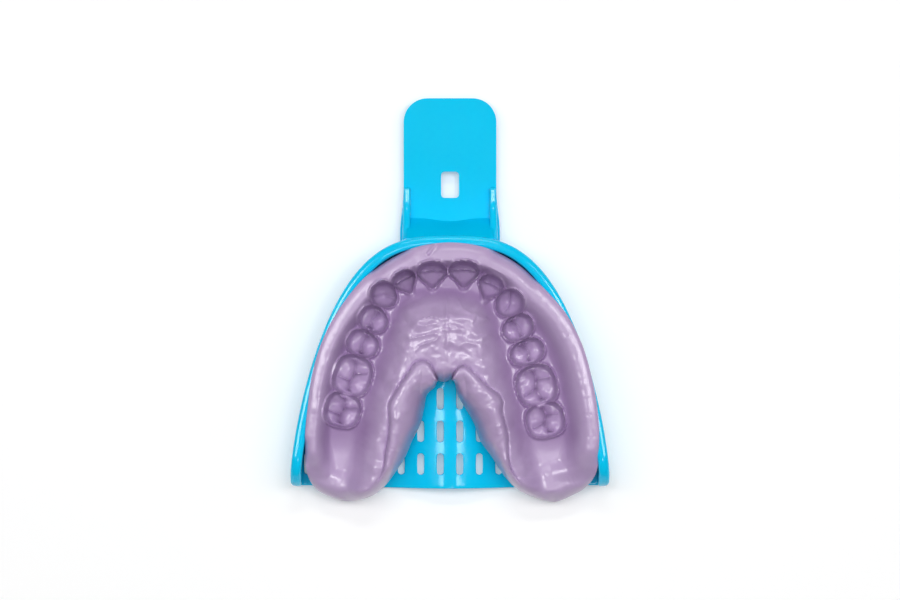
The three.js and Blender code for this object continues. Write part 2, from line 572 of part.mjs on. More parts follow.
// The body before it's cut to the tray: sections from the outer to the inner edge, from the left heel round the
// front to the right heel.
function impressionBlock() {
  const rings = sharesOf(64, 0.6).map((share) => {
    const a = OUTSIDE.getPointAt(share);
    const half = share < 0.5 ? share : 1 - share;
    const lead = 0.5 * (1 - (1 - 2 * half) ** 2.2);
    const b = INSIDE.getPointAt(share < 0.5 ? lead : 1 - lead);
    const length = a.distanceTo(b);
    const pointAt = (cross, heightAt) => {
      const at = a.clone().lerp(b, cross);
      at.z = heightAt(at.x, at.y);
      return { u: cross * length, v: at.z, at };
    };
    const top = crossShares(length).map((cross) => pointAt(cross, surfaceAt));
    return [...top, pointAt(1, () => -1), pointAt(0, () => -1)];
  });
  return loftOf(rings, true);
}

// One tooth's socket: a hollow to each cusp from a shared mouth, so that ridges stand between the cusps.
function socketSolid([kind, place, inset, along, across, depth]) {
  const centre = insetPoint(place, inset);
  const { out } = archPlace(place);
  const row = new THREE.Vector2(out.y, -out.x);
  const bottom = Math.max(GUM_Z - depth, FLOOR_THICKNESS + CLEARANCE + SOCKET_FLOOR_CLEAR);
  const above = GUM_Z + ROLL_HEIGHT + DOME_HEIGHT;
  const { pinch, hollows } = KINDS[kind];
  const pointAt = (alongShare, acrossShare, z) => {
    const narrowing = 1 - pinch * Math.max(0, -2 * acrossShare);
    const u = alongShare * narrowing * along;
    const v = acrossShare * across;
    return new THREE.Vector3(centre.x + row.x * u + out.x * v, centre.y + row.y * u + out.y * v, z);
  };
  const ringAt = (size, z, about) =>
    Array.from({ length: 12 }, (_, i) => {
      const turn = ((i + 0.5) / 12) * 2 * Math.PI;
      const u = 0.5 * size * signedPower(Math.cos(turn), 0.8) + about[0] * (1 - size);
      const v = 0.5 * size * signedPower(Math.sin(turn), 0.8) + about[1] * (1 - size);
      return pointAt(u, v, z);
    });
  return joined(
    hollows.map((tips) => {
      const about = tips.length > 1 ? [0, tips[0][1]] : tips[0];
      const middle = bottom + (GUM_Z - bottom) * 0.45;
      const points = [...ringAt(1, above, about), ...ringAt(1, GUM_Z, about), ...ringAt(0.74, middle, about)];
      for (const [u, v] of tips)
        for (const [du, dv] of [[0.08, 0], [0, 0.08], [-0.08, 0], [0, -0.08]]) points.push(pointAt(u + du, v + dv, bottom));
      return solidOf(new ConvexGeometry(points));
    }),
  );
}

// True if a point is inside a closed outline and at least a margin away from it.
function inside(outline, x, y, margin) {
  let odd = false;
  for (let i = 0, j = outline.length - 1; i < outline.length; j = i++) {
    const [a, b] = [outline[i], outline[j]];
    if (a.y > y !== b.y > y && x < ((b.x - a.x) * (y - a.y)) / (b.y - a.y) + a.x) odd = !odd;
  }
  return odd && distanceTo([...outline, outline[0]], x, y) > margin;
}

// All that the silicone can't fill: the wall and the floor, grown by the clearance, and everything under the floor.
// Keys of silicone stay in the slots that it covers.
function trayCutter() {
  const outline = [...OUTSIDE_LINE, ...INSIDE_LINE.toReversed()];
  const reach = SLOT_LENGTH / 2;
  const covered = slotCentres().filter((centre) =>
    [-1, 0, 1].every((step) => inside(outline, centre.x, centre.y + step * reach, SLOT_WIDTH / 2 + 0.4)),
  );
  const keyEndAt = (x, y) => vaultAt(x, y) + PLUG_RECESS;
  const keys = joined(covered.map((centre) => slotBar(centre, CLEARANCE, 2, keyEndAt)));
  return wallSolid(CLEARANCE).add(floorSolid(CLEARANCE, () => -2)).subtract(keys);
}

function impressionSolid() {
  // The silicone keeps inside the wall up to the rim, and is free above it.
  const rimClear = WALL_HEIGHT + CLEARANCE;
  const top = GUM_Z + ROLL_HEIGHT + DOME_HEIGHT;
  const rearLimit = HEEL_Y - 2 * HEEL_OVERHANG;
  const withinWall = prismOf(insideOutline(RIM_OVERHANG + WALL_THICKNESS / 2, rearLimit), 0, rimClear + 0.1);
  const wide = RIM_HALF_WIDTH * 4;
  const aboveRim = solidOf(new THREE.BoxGeometry(wide, wide, top).translate(0, 0, rimClear + top / 2));
  // Past the floor's rear edge nothing is left of the layer that lies in the slots.
  const layer = FLOOR_THICKNESS + CLEARANCE;
  const behind = new THREE.BoxGeometry(wide, HEEL_OVERHANG * 2, layer).translate(0, HEEL_Y - HEEL_OVERHANG, layer / 2);
  const fitted = impressionBlock().intersect(withinWall.add(aboveRim)).subtract(trayCutter()).subtract(solidOf(behind));
  const pressed = fitted.subtract(joined(SOCKETS.map(socketSolid)));
  // Slivers that the cuts leave loose aren't part of the body.
  return pressed.decompose().reduce((most, next) => (next.volume() > most.volume() ? next : most));
}

const impressionTray = new THREE.Group();
impressionTray.add(
  meshOf("tray", traySolid(), TRAY_FINISH),
  meshOf("impression", impressionSolid(), SILICONE_FINISH),
);
export default impressionTray;
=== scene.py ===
"""An upper-jaw impression tray that holds a set silicone impression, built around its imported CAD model.

Lengths inside the helpers are in millimetres; MM turns them into Blender's metres when a mesh is made.
"""

import math

import bmesh
import bpy
import numpy as np
from bpy.props import FloatProperty, FloatVectorProperty, PointerProperty
from bpy.types import Operator, Panel, PropertyGroup
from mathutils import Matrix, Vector


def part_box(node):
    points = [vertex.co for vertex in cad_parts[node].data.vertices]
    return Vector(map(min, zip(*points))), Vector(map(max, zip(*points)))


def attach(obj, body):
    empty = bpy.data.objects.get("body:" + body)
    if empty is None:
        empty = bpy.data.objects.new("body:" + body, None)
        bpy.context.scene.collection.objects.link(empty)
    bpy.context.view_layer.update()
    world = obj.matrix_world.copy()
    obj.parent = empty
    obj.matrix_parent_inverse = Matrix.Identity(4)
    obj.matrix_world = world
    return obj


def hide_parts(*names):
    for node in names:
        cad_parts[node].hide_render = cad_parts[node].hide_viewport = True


bl_info = {
    "name": "Impression Tray",
    "version": (1, 0, 0),
    "blender": (4, 5, 0),
    "location": "View3D > Sidebar > Impression Tray",
    "description": "Builds a slotted impression tray and the set silicone impression in it",
    "category": "Add Mesh",
}

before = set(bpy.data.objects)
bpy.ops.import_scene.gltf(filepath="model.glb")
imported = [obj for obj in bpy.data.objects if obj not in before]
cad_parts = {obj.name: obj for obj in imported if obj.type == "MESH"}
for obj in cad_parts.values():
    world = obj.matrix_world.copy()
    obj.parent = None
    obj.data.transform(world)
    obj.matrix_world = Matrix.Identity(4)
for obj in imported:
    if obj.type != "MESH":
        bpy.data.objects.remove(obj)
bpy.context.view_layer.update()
TRAY_HIGH = np.array(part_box("tray")[1]) * 1000
SILICONE_LOW = np.array(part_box("impression")[0]) * 1000

MM = 0.001

# ---- Sizes shared by the pieces, in mm ----
RIM_HALF_WIDTH = float(TRAY_HIGH[0])
RIM_TOP = float(TRAY_HIGH[2])
HANDLE_TIP_Y = float(TRAY_HIGH[1])
HEEL_TIP_Y = float(SILICONE_LOW[1])
RIM_FRONT_Y = 16.1
RIM_WIDEST_Y = -44.0
RIM_BLUNTNESS = 3.0
RIM_TAPER = 1.35
HEEL_Y = -46.9
REAR_BOW = 0.7
FLOOR_THICKNESS = 2.0
WALL_THICKNESS = 1.5
WALL_DRAFT = 0.3
RIM_OVERHANG = 0.5
RIM_WIDTH = 2.7
RIM_DEPTH = 2.5
HEEL_WALL_HEIGHT = 8.0
HEEL_FALL = 8.0
VAULT_HEIGHT = 5.0
VAULT_HALF_WIDTH = 17.0
VAULT_FRONT_Y = 6.0
VAULT_RAMP = 20.0
SLOT_WIDTH = 1.75
SLOT_LENGTH = 5.4
SLOT_PITCH_X = 4.94
SLOT_PITCH_Y = 8.25
FIRST_SLOT_ROW_Y = -41.4
FLOOR_INSET = -3.75
HANDLE_ROOT_Y = RIM_FRONT_Y - 4.0
FLARE_END_Y = RIM_FRONT_Y + 12.4
FLARE_LENGTH = 12.0
HOLE_Y = RIM_FRONT_Y + 13.0
HOLE_HALF_WIDTH, HOLE_HALF_LENGTH, HOLE_CORNER = 2.25, 3.3, 0.9
PLUG_RECESS = 0.4
GUM_Z = 13.0
HEEL_OVERHANG = HEEL_Y - HEEL_TIP_Y
# The silicone's clearance over the floor, and how far its side stays in from the rim's outer edge: beside the wall,
# beside the rim's roll, and under its own lip.
FLOOR_GAP = 0.02
BESIDE_WALL, BESIDE_RIM, UNDER_LIP = 2.36, 2.86, 2.4
# Lengths of its edges that its wrinkles are spaced by.
OUTSIDE_LENGTH, INSIDE_LENGTH = 160, 75
# The silicone's height levels off from the first of these, by the second at most.
LEVEL_FROM, LEVEL_BY = 20.2, 0.7
# Where the silicone's painted light and shade turn, in metres: painted shade low down and painted light up on the rolls
# and palate, painted light down in the sockets, and painted light back at the heels.
PAINTED_SHADE_TO_LIGHT_Z = (0.0140, 0.0174)
SOCKET_PAINTED_LIGHT_Z = (0.0122, 0.0104)
HEEL_PAINTED_LIGHT_Y = (-0.033, -0.042)

# ---- The silicone's edges ----
# Inset of its outer edge from the rim's outer edge by place along the rim, 0 at the left heel and 1 at the right.
OUTER_EDGE = [
    (0.022, 4.2), (0.072, 2.7), (0.121, 1.8), (0.169, 0.9), (0.22, 0.6), (0.275, 1.2), (0.338, 2.3), (0.38, 3.0),
    (0.43, 2.7), (0.465, 2.1), (0.5, 1.7), (0.535, 2.1), (0.57, 2.7), (0.62, 3.0), (0.66, 2.7), (0.727, 0.7),
    (0.782, -0.1), (0.832, 0.1), (0.881, 0.6), (0.929, 1.7), (0.978, 3.4),
]
# The rest as shares of the rim's half width, and of the length from the heels to the rim's front; a negative
# second share counts in overhangs past the heels.
LEFT_HEEL_OUTSIDE = [(-0.775, -0.6), (-0.85, -0.13)]
LEFT_HEEL_TIP = (-0.644, -0.96)
LEFT_HEEL_INSIDE = [(-0.488, -0.6), (-0.42, -0.1)]
GAP_EDGE = [
    (-0.344, 0.055), (-0.281, 0.118), (-0.238, 0.182), (-0.188, 0.246), (-0.163, 0.309), (-0.145, 0.365),
    (-0.094, 0.398), (-0.078, 0.42), (-0.032, 0.417), (0.012, 0.427), (0.029, 0.412), (0.046, 0.368), (0.09, 0.318),
    (0.15, 0.252), (0.19, 0.182), (0.262, 0.118), (0.325, 0.055),
]
RIGHT_HEEL_INSIDE = [(0.41, -0.1), (0.5, -0.6)]
RIGHT_HEEL_TIP = (0.655, -1.0)
RIGHT_HEEL_OUTSIDE = [(0.769, -0.6), (0.85, -0.13)]

# Where the rolls along the gap end and the tissue's imprint begins, from the notch to each heel, in mm.
LEFT_ROLL_LINE = [
    (-3.1, -20.3), (-3.9, -18.2), (-4.9, -16.2), (-6.3, -15.2), (-8.4, -15.5), (-10.0, -17.4), (-12.8, -21.5),
    (-15.3, -26.0), (-15.2, -30.1), (-15.4, -33.7), (-16.1, -38.0), (-16.6, -42.0), (-18.6, -46.6),
]
RIGHT_ROLL_LINE = [
    (0.5, -20.0), (1.3, -18.0), (2.4, -16.7), (3.8, -16.5), (5.3, -17.5), (7.4, -19.6), (9.6, -21.7), (12.1, -23.5),
    (13.2, -25.3), (13.1, -27.7), (13.6, -30.1), (14.4, -33.2), (14.5, -37.0), (15.2, -42.0), (18.6, -47.0),
]

# Socket kinds: how far the mouth narrows inwards, and how square it is.
KINDS = {
    "incisor": dict(pinch=0.62, square=2.3),
    "canine": dict(pinch=0.22, square=2.1),
    "premolar": dict(pinch=0.12, square=2.3),
    "molar": dict(pinch=0.04, square=2.7),
}
# Kind, centre, sizes along and across the row, and depth.
SOCKETS = [
    ("molar", -26.9, -27.6, 8.6, 8.7, 4.6), ("molar", -24.4, -19.0, 10.2, 9.2, 4.8),
    ("premolar", -21.8, -11.0, 6.7, 7.9, 5.0), ("premolar", -19.2, -4.9, 6.5, 7.2, 5.4),
    ("canine", -16.5, 1.3, 6.6, 6.8, 6.4), ("incisor", -11.2, 4.4, 6.2, 6.0, 6.0),
    ("incisor", -4.5, 6.3, 7.7, 6.6, 6.4), ("incisor", 3.5, 6.5, 7.8, 6.6, 6.4),
    ("incisor", 10.0, 3.0, 6.4, 6.4, 6.0), ("canine", 14.9, -0.9, 7.0, 7.2, 6.4),
    ("premolar", 17.0, -7.0, 6.5, 7.8, 5.4), ("premolar", 19.3, -13.1, 6.5, 8.6, 5.0),
    ("molar", 21.7, -21.5, 10.2, 9.8, 4.8), ("molar", 23.9, -30.1, 8.6, 9.4, 4.6),
]
# Inset from the rim of the gum's inner line beside the teeth, by place along the rim.
GUM_INSET = [
    (0.0, 13.5), (0.1, 14.6), (0.19, 15.0), (0.27, 14.4), (0.35, 12.6), (0.42, 12.8), (0.5, 13.4), (0.58, 14.4),
    (0.65, 15.4), (0.72, 17.4), (0.8, 18.9), (0.88, 18.8), (1.0, 16.5),
]
# Fissure lines by kind, in shares of the socket's half sizes: along the row, and outwards.
FISSURES = {
    "molar": [
        [(-0.72, 0.02), (-0.3, 0.08), (0.12, -0.06), (0.66, 0.05)], [(-0.3, 0.08), (-0.22, 0.75)],
        [(0.12, -0.06), (0.34, -0.72)], [(0.66, 0.05), (0.8, 0.38)], [(-0.72, 0.02), (-0.84, -0.3)],
    ],
    "premolar": [
        [(-0.6, -0.06), (0.0, 0.06), (0.6, -0.06)], [(-0.6, -0.06), (-0.76, 0.26)], [(0.6, -0.06), (0.76, 0.26)],
        [(-0.6, -0.06), (-0.7, -0.36)],
    ],
    "canine": [[(-0.62, 0.5), (0.0, 0.02), (0.3, -0.62)]],
    "incisor": [],
}


# ---- Small numeric helpers ----
def smooth(share):
    """Smooth step from 0 to 1."""
    share = np.clip(share, 0.0, 1.0)
    return share * share * (3 - 2 * share)


def quarter_round(share):
    """A quarter circle from 0 to 1, steep at its start and level at its end."""
    return np.sqrt(1 - (1 - np.clip(share, 0, 1)) ** 2)


def bump(distance, width):
    """A rounded ridge of height 1 at distance 0."""
    return np.exp(-((distance / width) ** 2))


def running_total(steps):
    return np.concatenate([[0], np.cumsum(steps)])


def left_normals(along):
    """Unit vectors to the left of each run."""
    along = along / np.linalg.norm(along, axis=1)[:, None]
    return np.column_stack([-along[:, 1], along[:, 0]])


def smooth_curve(points, count, closed=False):
    """Evenly spaced points on a smooth curve through the given ones."""
    p = np.asarray(points, float)
    if closed:
        p = np.vstack([p[-2:], p, p[:3]])
    t = running_total(np.sqrt(np.linalg.norm(np.diff(p, axis=0), axis=1)))
    step = np.diff(t)[:, None]
    slope = np.diff(p, axis=0) / step
    middle = (slope[1:] * step[:-1] + slope[:-1] * step[1:]) / (step[:-1] + step[1:])
    tangent = np.vstack([slope[:1], middle, slope[-1:]])
    fine = []
    first, last = (2, len(p) - 3) if closed else (0, len(p) - 1)
    for i in range(first, last):
        s = np.linspace(0, 1, 24, endpoint=False)[:, None]
        h = t[i + 1] - t[i]
        fine.append(
            p[i] * (2 * s**3 - 3 * s**2 + 1) + tangent[i] * h * (s**3 - 2 * s**2 + s)
            + p[i + 1] * (3 * s**2 - 2 * s**3) + tangent[i + 1] * h * (s**3 - s**2)
        )
    fine.append(p[last : last + 1])
    return resample(np.vstack(fine), count)


def between(at, known, line):
    """Points between those of a line, at places on the scale that its known places are on."""
    return np.stack([np.interp(at, known, column) for column in line.T], axis=-1)


def resample(line, count):
    """The same line with evenly spaced points."""
    run = running_total(np.linalg.norm(np.diff(line, axis=0), axis=1))
    return between(np.linspace(0, run[-1], count), run, line)


def along_line(line, shares):
    """Points on an evenly spaced line at shares of its length."""
    return between(np.asarray(shares) * (len(line) - 1), np.arange(len(line)), line)


def line_distance(line, points):
    """Distance of each point to a line, and the share along it of the nearest place."""
    line, points = np.asarray(line, float), np.asarray(points, float)
    start, run = line[:-1], np.diff(line, axis=0)
    length2 = np.maximum((run**2).sum(1), 1e-12)
    done = running_total(np.sqrt(length2))
    distance, share = np.empty(len(points)), np.empty(len(points))
    batch = 4000
    for first in range(0, len(points), batch):
        some = slice(first, first + batch)
        p = points[some, None]
        t = np.clip(((p - start) * run).sum(2) / length2, 0, 1)
        d = ((start + t[..., None] * run - p) ** 2).sum(2)
        best = d.argmin(1)
        rows = np.arange(len(best))
        distance[some] = np.sqrt(d[rows, best])
        share[some] = (done[best] + t[rows, best] * np.sqrt(length2[best])) / done[-1]
    return distance, share


def inside_polygon(polygon, points):
    """True for the points inside a closed polygon."""
    polygon = np.asarray(polygon)
    following = np.roll(polygon, -1, axis=0)
    odd = np.zeros(len(points), bool)
    for (ax, ay), (bx, by) in zip(polygon, following):
        crosses = (ay > points[:, 1]) != (by > points[:, 1])
        odd ^= crosses & (points[:, 0] < (bx - ax) * (points[:, 1] - ay) / (by - ay + 1e-12) + ax)
    return odd


def cloud_noise(x, y, seed):
    """Smooth value noise from -1 to 1 with cells one unit wide."""
    size = 64
    table = np.random.default_rng(seed).uniform(-1, 1, (size, size))
    xi, yi = np.floor(x).astype(int), np.floor(y).astype(int)
    fx, fy = smooth(x - xi), smooth(y - yi)

    def at(i, j):
        return table[(xi + i) % size, (yi + j) % size]

    near = at(0, 0) * (1 - fx) + at(1, 0) * fx
    far = at(0, 1) * (1 - fx) + at(1, 1) * fx
    return near * (1 - fy) + far * fy


# ---- The arch that the rim follows ----
def arch_line(count):
    """Evenly spaced points along the rim's outer edge, left heel to right heel."""
    turn = np.linspace(-math.pi / 2, math.pi / 2, 6001)
    x = RIM_HALF_WIDTH * np.sign(np.sin(turn)) * np.abs(np.sin(turn)) ** (2 / RIM_BLUNTNESS)
    y = RIM_WIDEST_Y + (RIM_FRONT_Y - RIM_WIDEST_Y) * np.abs(np.cos(turn)) ** (2 / RIM_TAPER)
    left, right = [[-RIM_HALF_WIDTH, HEEL_Y]], [[RIM_HALF_WIDTH, HEEL_Y]]
    return resample(np.vstack([left, np.column_stack([x, y]), right]), count)


ARCH = arch_line(1601)


def outward_of(line):
    """Unit normals on the left of a line that runs clockwise round the tray, pointing out of it."""
    return left_normals(np.gradient(line, axis=0))


ARCH_OUT = outward_of(ARCH)


def arch_point(place, inset=0.0):
    """A point set in from the rim at a place along it, and the outward direction there."""
    point, out = (along_line(line, place) for line in (ARCH, ARCH_OUT))
    return point - out * np.asarray(inset)[..., None], out


def share_point(share):
    """A point in mm from its shares of the rim's half width and of its length."""
    across, along = share
    unit = HEEL_OVERHANG if along < 0 else RIM_FRONT_Y - HEEL_Y
    return across * RIM_HALF_WIDTH, HEEL_Y + along * unit


def vault_height(x, y):
    """Rise of the floor under the palate."""
    across = np.minimum(1, np.abs(x) / VAULT_HALF_WIDTH)
    return VAULT_HEIGHT * (1 - across**2) ** 2 * smooth((VAULT_FRONT_Y - y) / VAULT_RAMP)


def rim_top(y):
    """Height of the rim, level and then falling in a quarter ellipse at the heels."""
    fall = np.clip((HEEL_Y + HEEL_FALL - y) / HEEL_FALL, 0, 1)
    return HEEL_WALL_HEIGHT + (RIM_TOP - HEEL_WALL_HEIGHT) * np.sqrt(1 - 0.98 * fall**2)


def half_width(y):
    """Half width of the arch at a Y."""
    along = np.clip((y - RIM_WIDEST_Y) / (RIM_FRONT_Y - RIM_WIDEST_Y), 0, 1)
    return RIM_HALF_WIDTH * (1 - along**RIM_TAPER) ** (1 / RIM_BLUNTNESS)


def slot_centres():
    """Centres of the floor's slots: a grid kept inside the wall."""
    inner = RIM_OVERHANG + WALL_DRAFT + WALL_THICKNESS
    land = inner + 0.3 + SLOT_WIDTH / 2
    centres = []
    y = FIRST_SLOT_ROW_Y
    while y < RIM_FRONT_Y - land - SLOT_LENGTH / 2:
        limit = half_width(y + SLOT_LENGTH / 2) - land
        x = SLOT_PITCH_X / 2
        while x - 1.2 < limit:
            centres += [(side * min(x, limit), y) for side in (-1, 1)]
            x += SLOT_PITCH_X
        y += SLOT_PITCH_Y
    centres = np.array(centres)
    ends = centres + [0, (SLOT_LENGTH - SLOT_WIDTH) / 2]
    return centres[line_distance(ARCH[::8], ends)[0] > inner + SLOT_WIDTH / 2]


# ---- Blender helpers ----
def deselect_all():
    """Leaves edit mode and clears the selection."""
    if bpy.context.object and bpy.context.object.mode != "OBJECT":
        bpy.ops.object.mode_set(mode="OBJECT")
    bpy.ops.object.select_all(action="DESELECT")


def activate(obj):
    deselect_all()
    obj.select_set(True)
    bpy.context.view_layer.objects.active = obj


def named(name):
    """The object just added, under its own name."""
    obj = bpy.context.object
    obj.name = obj.data.name = name
    return obj


def set_points(obj, points):
    """Moves every vertex of a mesh to a place given in mm."""
    obj.data.vertices.foreach_set("co", (np.asarray(points, np.float32) * MM).ravel())
    obj.data.update()


def points_of(obj):
    """Every vertex of a mesh, in mm."""
    flat = np.empty(len(obj.data.vertices) * 3, np.float32)
    obj.data.vertices.foreach_get("co", flat)
    return flat.reshape(-1, 3).astype(float) / MM


def shaped_grid(name, points):
    """A grid primitive whose vertices are placed from an array of rows by columns by 3."""
    rows, columns = points.shape[:2]
    deselect_all()
    bpy.ops.mesh.primitive_grid_add(x_subdivisions=columns - 1, y_subdivisions=rows - 1, size=1)
    obj = named(name)
    set_points(obj, points.reshape(-1, 3))
    return obj


def edit(obj, mode="VERT", action="SELECT"):
    """Opens a mesh for editing with everything selected, or nothing."""
    activate(obj)
    bpy.ops.object.mode_set(mode="EDIT")
    bpy.ops.mesh.select_mode(type=mode)
    bpy.ops.mesh.select_all(action=action)


def close_edit():
    bpy.ops.object.mode_set(mode="OBJECT")


def upright(edge):
    return abs(edge.verts[0].co.z - edge.verts[1].co.z) > MM


def round_edges(obj, test, width, segments):
    """Bevels the edges that a test accepts."""
    edit(obj, "EDGE", "DESELECT")
    mesh = bmesh.from_edit_mesh(obj.data)
    for edge in mesh.edges:
        edge.select_set(test(edge))
    bmesh.update_edit_mesh(obj.data)
    bpy.ops.mesh.bevel(offset=width * MM, segments=segments, affect="EDGES")
    close_edit()


def face_outwards(obj):
    """Turns every face of a closed mesh outwards."""
    edit(obj)
    bpy.ops.mesh.normals_make_consistent(inside=False)
    close_edit()


def apply_modifier(obj, kind, **settings):
    """Adds a modifier with its settings and applies it."""
    activate(obj)
    modifier = obj.modifiers.new(kind.title(), kind)
    for key, value in settings.items():
        setattr(modifier, key, value)
    bpy.ops.object.modifier_apply(modifier=modifier.name)


def cut_with(obj, cutter, operation="DIFFERENCE"):
    """A boolean with another object, which is used up."""
    apply_modifier(obj, "BOOLEAN", operation=operation, object=cutter, solver="EXACT")
    bpy.data.objects.remove(cutter, do_unlink=True)


def soften(obj, width, sharper_than):
    """A small bevel on every edge that turns by more than an angle in degrees."""
    angle = math.radians(sharper_than)
    apply_modifier(obj, "BEVEL", width=width * MM, segments=3, limit_method="ANGLE", angle_limit=angle)


def join_all(objects, name):
    """Joins meshes into the first of them, under a name."""
    deselect_all()
    for obj in objects:
        obj.select_set(True)
    bpy.context.view_layer.objects.active = objects[0]
    bpy.ops.object.join()
    return named(name)


def cube_between(name, low, high):
    """A cube primitive that fills a box given in mm, with its place in its mesh."""
    low, high = np.array(low, float), np.array(high, float)
    deselect_all()
    bpy.ops.mesh.primitive_cube_add(size=1)
    obj = named(name)
    set_points(obj, (low + high) / 2 + points_of(obj) * MM * (high - low))
    return obj


def slice_along(obj, places, normal):
    """Bisects a mesh at each place along an axis, so that it can be shaped there."""
    for place in places:
        edit(obj)
        bpy.ops.mesh.bisect(plane_co=Vector(normal) * place * MM, plane_no=normal)
        close_edit()


def close_ends(obj):
    """Welds the seams of a swept sheet and fills what is still open."""
    edit(obj, action="DESELECT")
    bpy.ops.mesh.select_non_manifold(extend=False)
    bpy.ops.mesh.remove_doubles(threshold=0.001 * MM)
    bpy.ops.mesh.select_mode(type="EDGE")
    bpy.ops.mesh.select_all(action="DESELECT")
    bpy.ops.mesh.select_non_manifold(extend=False, use_wire=False, use_multi_face=False, use_non_contiguous=False)
    bpy.ops.mesh.edge_face_add()
    close_edit()
    face_outwards(obj)


def closed_sweep(name, rings):
    """A closed skin through rings of points, with a face across each end."""
    obj = shaped_grid(name, np.concatenate([rings, rings[:, :1]], axis=1))
    close_ends(obj)
    return obj


def finish_piece(obj, replaces):
    """Shades a piece smooth, puts it on the part's one body and hides the CAD part that it stands for."""
    activate(obj)
    bpy.ops.object.shade_smooth_by_angle(angle=math.radians(38))
    apply_modifier(obj, "WEIGHTED_NORMAL", keep_sharp=True, weight=50)
    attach(obj, "root")
    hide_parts(replaces)


# ---- Materials ----
def fill(node, values):
    """Sets a shader node's own values."""
    for name, value in values.items():
        node.inputs[name].default_value = value


class NodeTree:
    """Short ways to add and link shader nodes."""

    def __init__(self, name):
        self.material = bpy.data.materials.new(name)
        self.material.use_nodes = True
        self.tree = self.material.node_tree
        self.shader = self.tree.nodes["Principled BSDF"]
        self.place = self.node("ShaderNodeTexCoord").outputs["Object"]

    def node(self, kind, **settings):
        made = self.tree.nodes.new(kind)
        for key, value in settings.items():
            setattr(made, key, value)
        return made

    def link(self, output, socket):
        self.tree.links.new(output, socket)

    def noise(self, scale, detail=3.0, roughness=0.5, stretch=None):
        """Noise on Object coordinates; the scale is in cells per metre."""
        noise = self.node("ShaderNodeTexNoise")
        fill(noise, {"Scale": scale, "Detail": detail, "Roughness": roughness})
        source = self.place
        if stretch:
            mapping = self.node("ShaderNodeMapping")
            fill(mapping, {"Scale": stretch})
            self.link(self.place, mapping.inputs["Vector"])
            source = mapping.outputs["Vector"]
        self.link(source, noise.inputs["Vector"])
        return noise.outputs["Fac"]

    def ramp(self, value, low, high, to_low=0.0, to_high=1.0):
        """Turns a range of values into another, and holds both ends."""
        ranged = self.node("ShaderNodeMapRange")
        fill(ranged, {"From Min": low, "From Max": high, "To Min": to_low, "To Max": to_high})
        self.link(value, ranged.inputs["Value"])
        return ranged.outputs["Result"]

    def add(self, first, second):
        total = self.node("ShaderNodeMath", operation="ADD")
        self.link(first, total.inputs[0])
        self.link(second, total.inputs[1])
        return total.outputs["Value"]

    def blend(self, share, first, second):
        """A colour between two, by a share."""
        mix = self.node("ShaderNodeMix", data_type="RGBA")
        self.link(share, mix.inputs["Factor"])
        # Inputs 6 and 7 and output 2 are the node's colours.
        fill(mix, {6: (*first, 1), 7: (*second, 1)})
        return mix.outputs[2]

    def bump(self, height, strength, distance, below=None):
        """A normal from a height, laid over another normal."""
        node = self.node("ShaderNodeBump")
        fill(node, {"Strength": strength, "Distance": distance})
        self.link(height, node.inputs["Height"])
        if below:
            self.link(below, node.inputs["Normal"])
        return node.outputs["Normal"]


def plastic_material(sizes):
    """Glossy moulded plastic: even colour with a faint mottle, fine scuffs and a slight ripple."""
    tree = NodeTree("cyan_plastic")
    shader = tree.shader
    colour = Vector(sizes.plastic_colour)
    mottle = tree.ramp(tree.noise(60, 2), 0.3, 0.7)
    tree.link(tree.blend(mottle, colour * 0.965, colour), shader.inputs["Base Color"])
    scuffs = tree.noise(900, 4, 0.6, (1.0, 0.12, 1.0))
    tree.link(tree.ramp(scuffs, 0.35, 0.75, 0.06, 0.13), shader.inputs["Roughness"])
    ripple = tree.bump(tree.noise(160, 1), 0.12, 0.0004)
    tree.link(tree.bump(scuffs, 0.05, 0.00005, ripple), shader.inputs["Normal"])
    fill(shader, {
        "IOR": 1.46, "Specular IOR Level": 0.36,
        "Subsurface Weight": 0.08, "Subsurface Radius": (0.0006, 0.0012, 0.0018), "Subsurface Scale": 1.0,
    })
    return tree.material


def silicone_material(sizes):
    """Set silicone: satin, slightly see-through at its edges, with a fine creamy mottle and painted light and shade by
    height and place.
    """
    tree = NodeTree("lavender_silicone")
    shader = tree.shader
    # A mottle between the two tones, plus painted shade low down and painted light high on the rolls and palate, at the
    # heels and deep in the sockets.
    axes = tree.node("ShaderNodeSeparateXYZ")
    tree.link(tree.place, axes.inputs["Vector"])
    # Painted shade in low places and painted light on raised ones, painted light at the heels, and painted light deep
    # in the sockets against their shade.
    raised = tree.ramp(axes.outputs["Z"], *PAINTED_SHADE_TO_LIGHT_Z, -0.3, 0.62)
    heel = tree.ramp(axes.outputs["Y"], *HEEL_PAINTED_LIGHT_Y, 0.0, 0.7)
    socket = tree.ramp(axes.outputs["Z"], *SOCKET_PAINTED_LIGHT_Z, 0.0, 0.62)
    tone = tree.node("ShaderNodeMath", operation="MULTIPLY_ADD", use_clamp=True)
    tree.link(tree.noise(140, 3, 0.55), tone.inputs[0])
    fill(tone, {1: 0.7})
    tree.link(tree.add(tree.add(raised, heel), socket), tone.inputs[2])
    mixed = tree.blend(tone.outputs["Value"], sizes.silicone_dark_and_shaded, sizes.silicone_pale_and_lit)
    tree.link(mixed, shader.inputs["Base Color"])
    fine = tree.noise(2600, 3, 0.6)
    tree.link(tree.ramp(fine, 0.3, 0.7, 0.27, 0.37), shader.inputs["Roughness"])
    soft = tree.bump(tree.noise(700, 3, 0.5), 0.14, 0.00025)
    tree.link(tree.bump(fine, 0.10, 0.00006, soft), shader.inputs["Normal"])
    fill(shader, {
        "IOR": 1.42, "Coat Weight": 0.28, "Coat Roughness": 0.19,
        "Subsurface Weight": 0.18, "Subsurface Radius": (0.0012, 0.0009, 0.0013), "Subsurface Scale": 1.0,
    })
    return tree.material


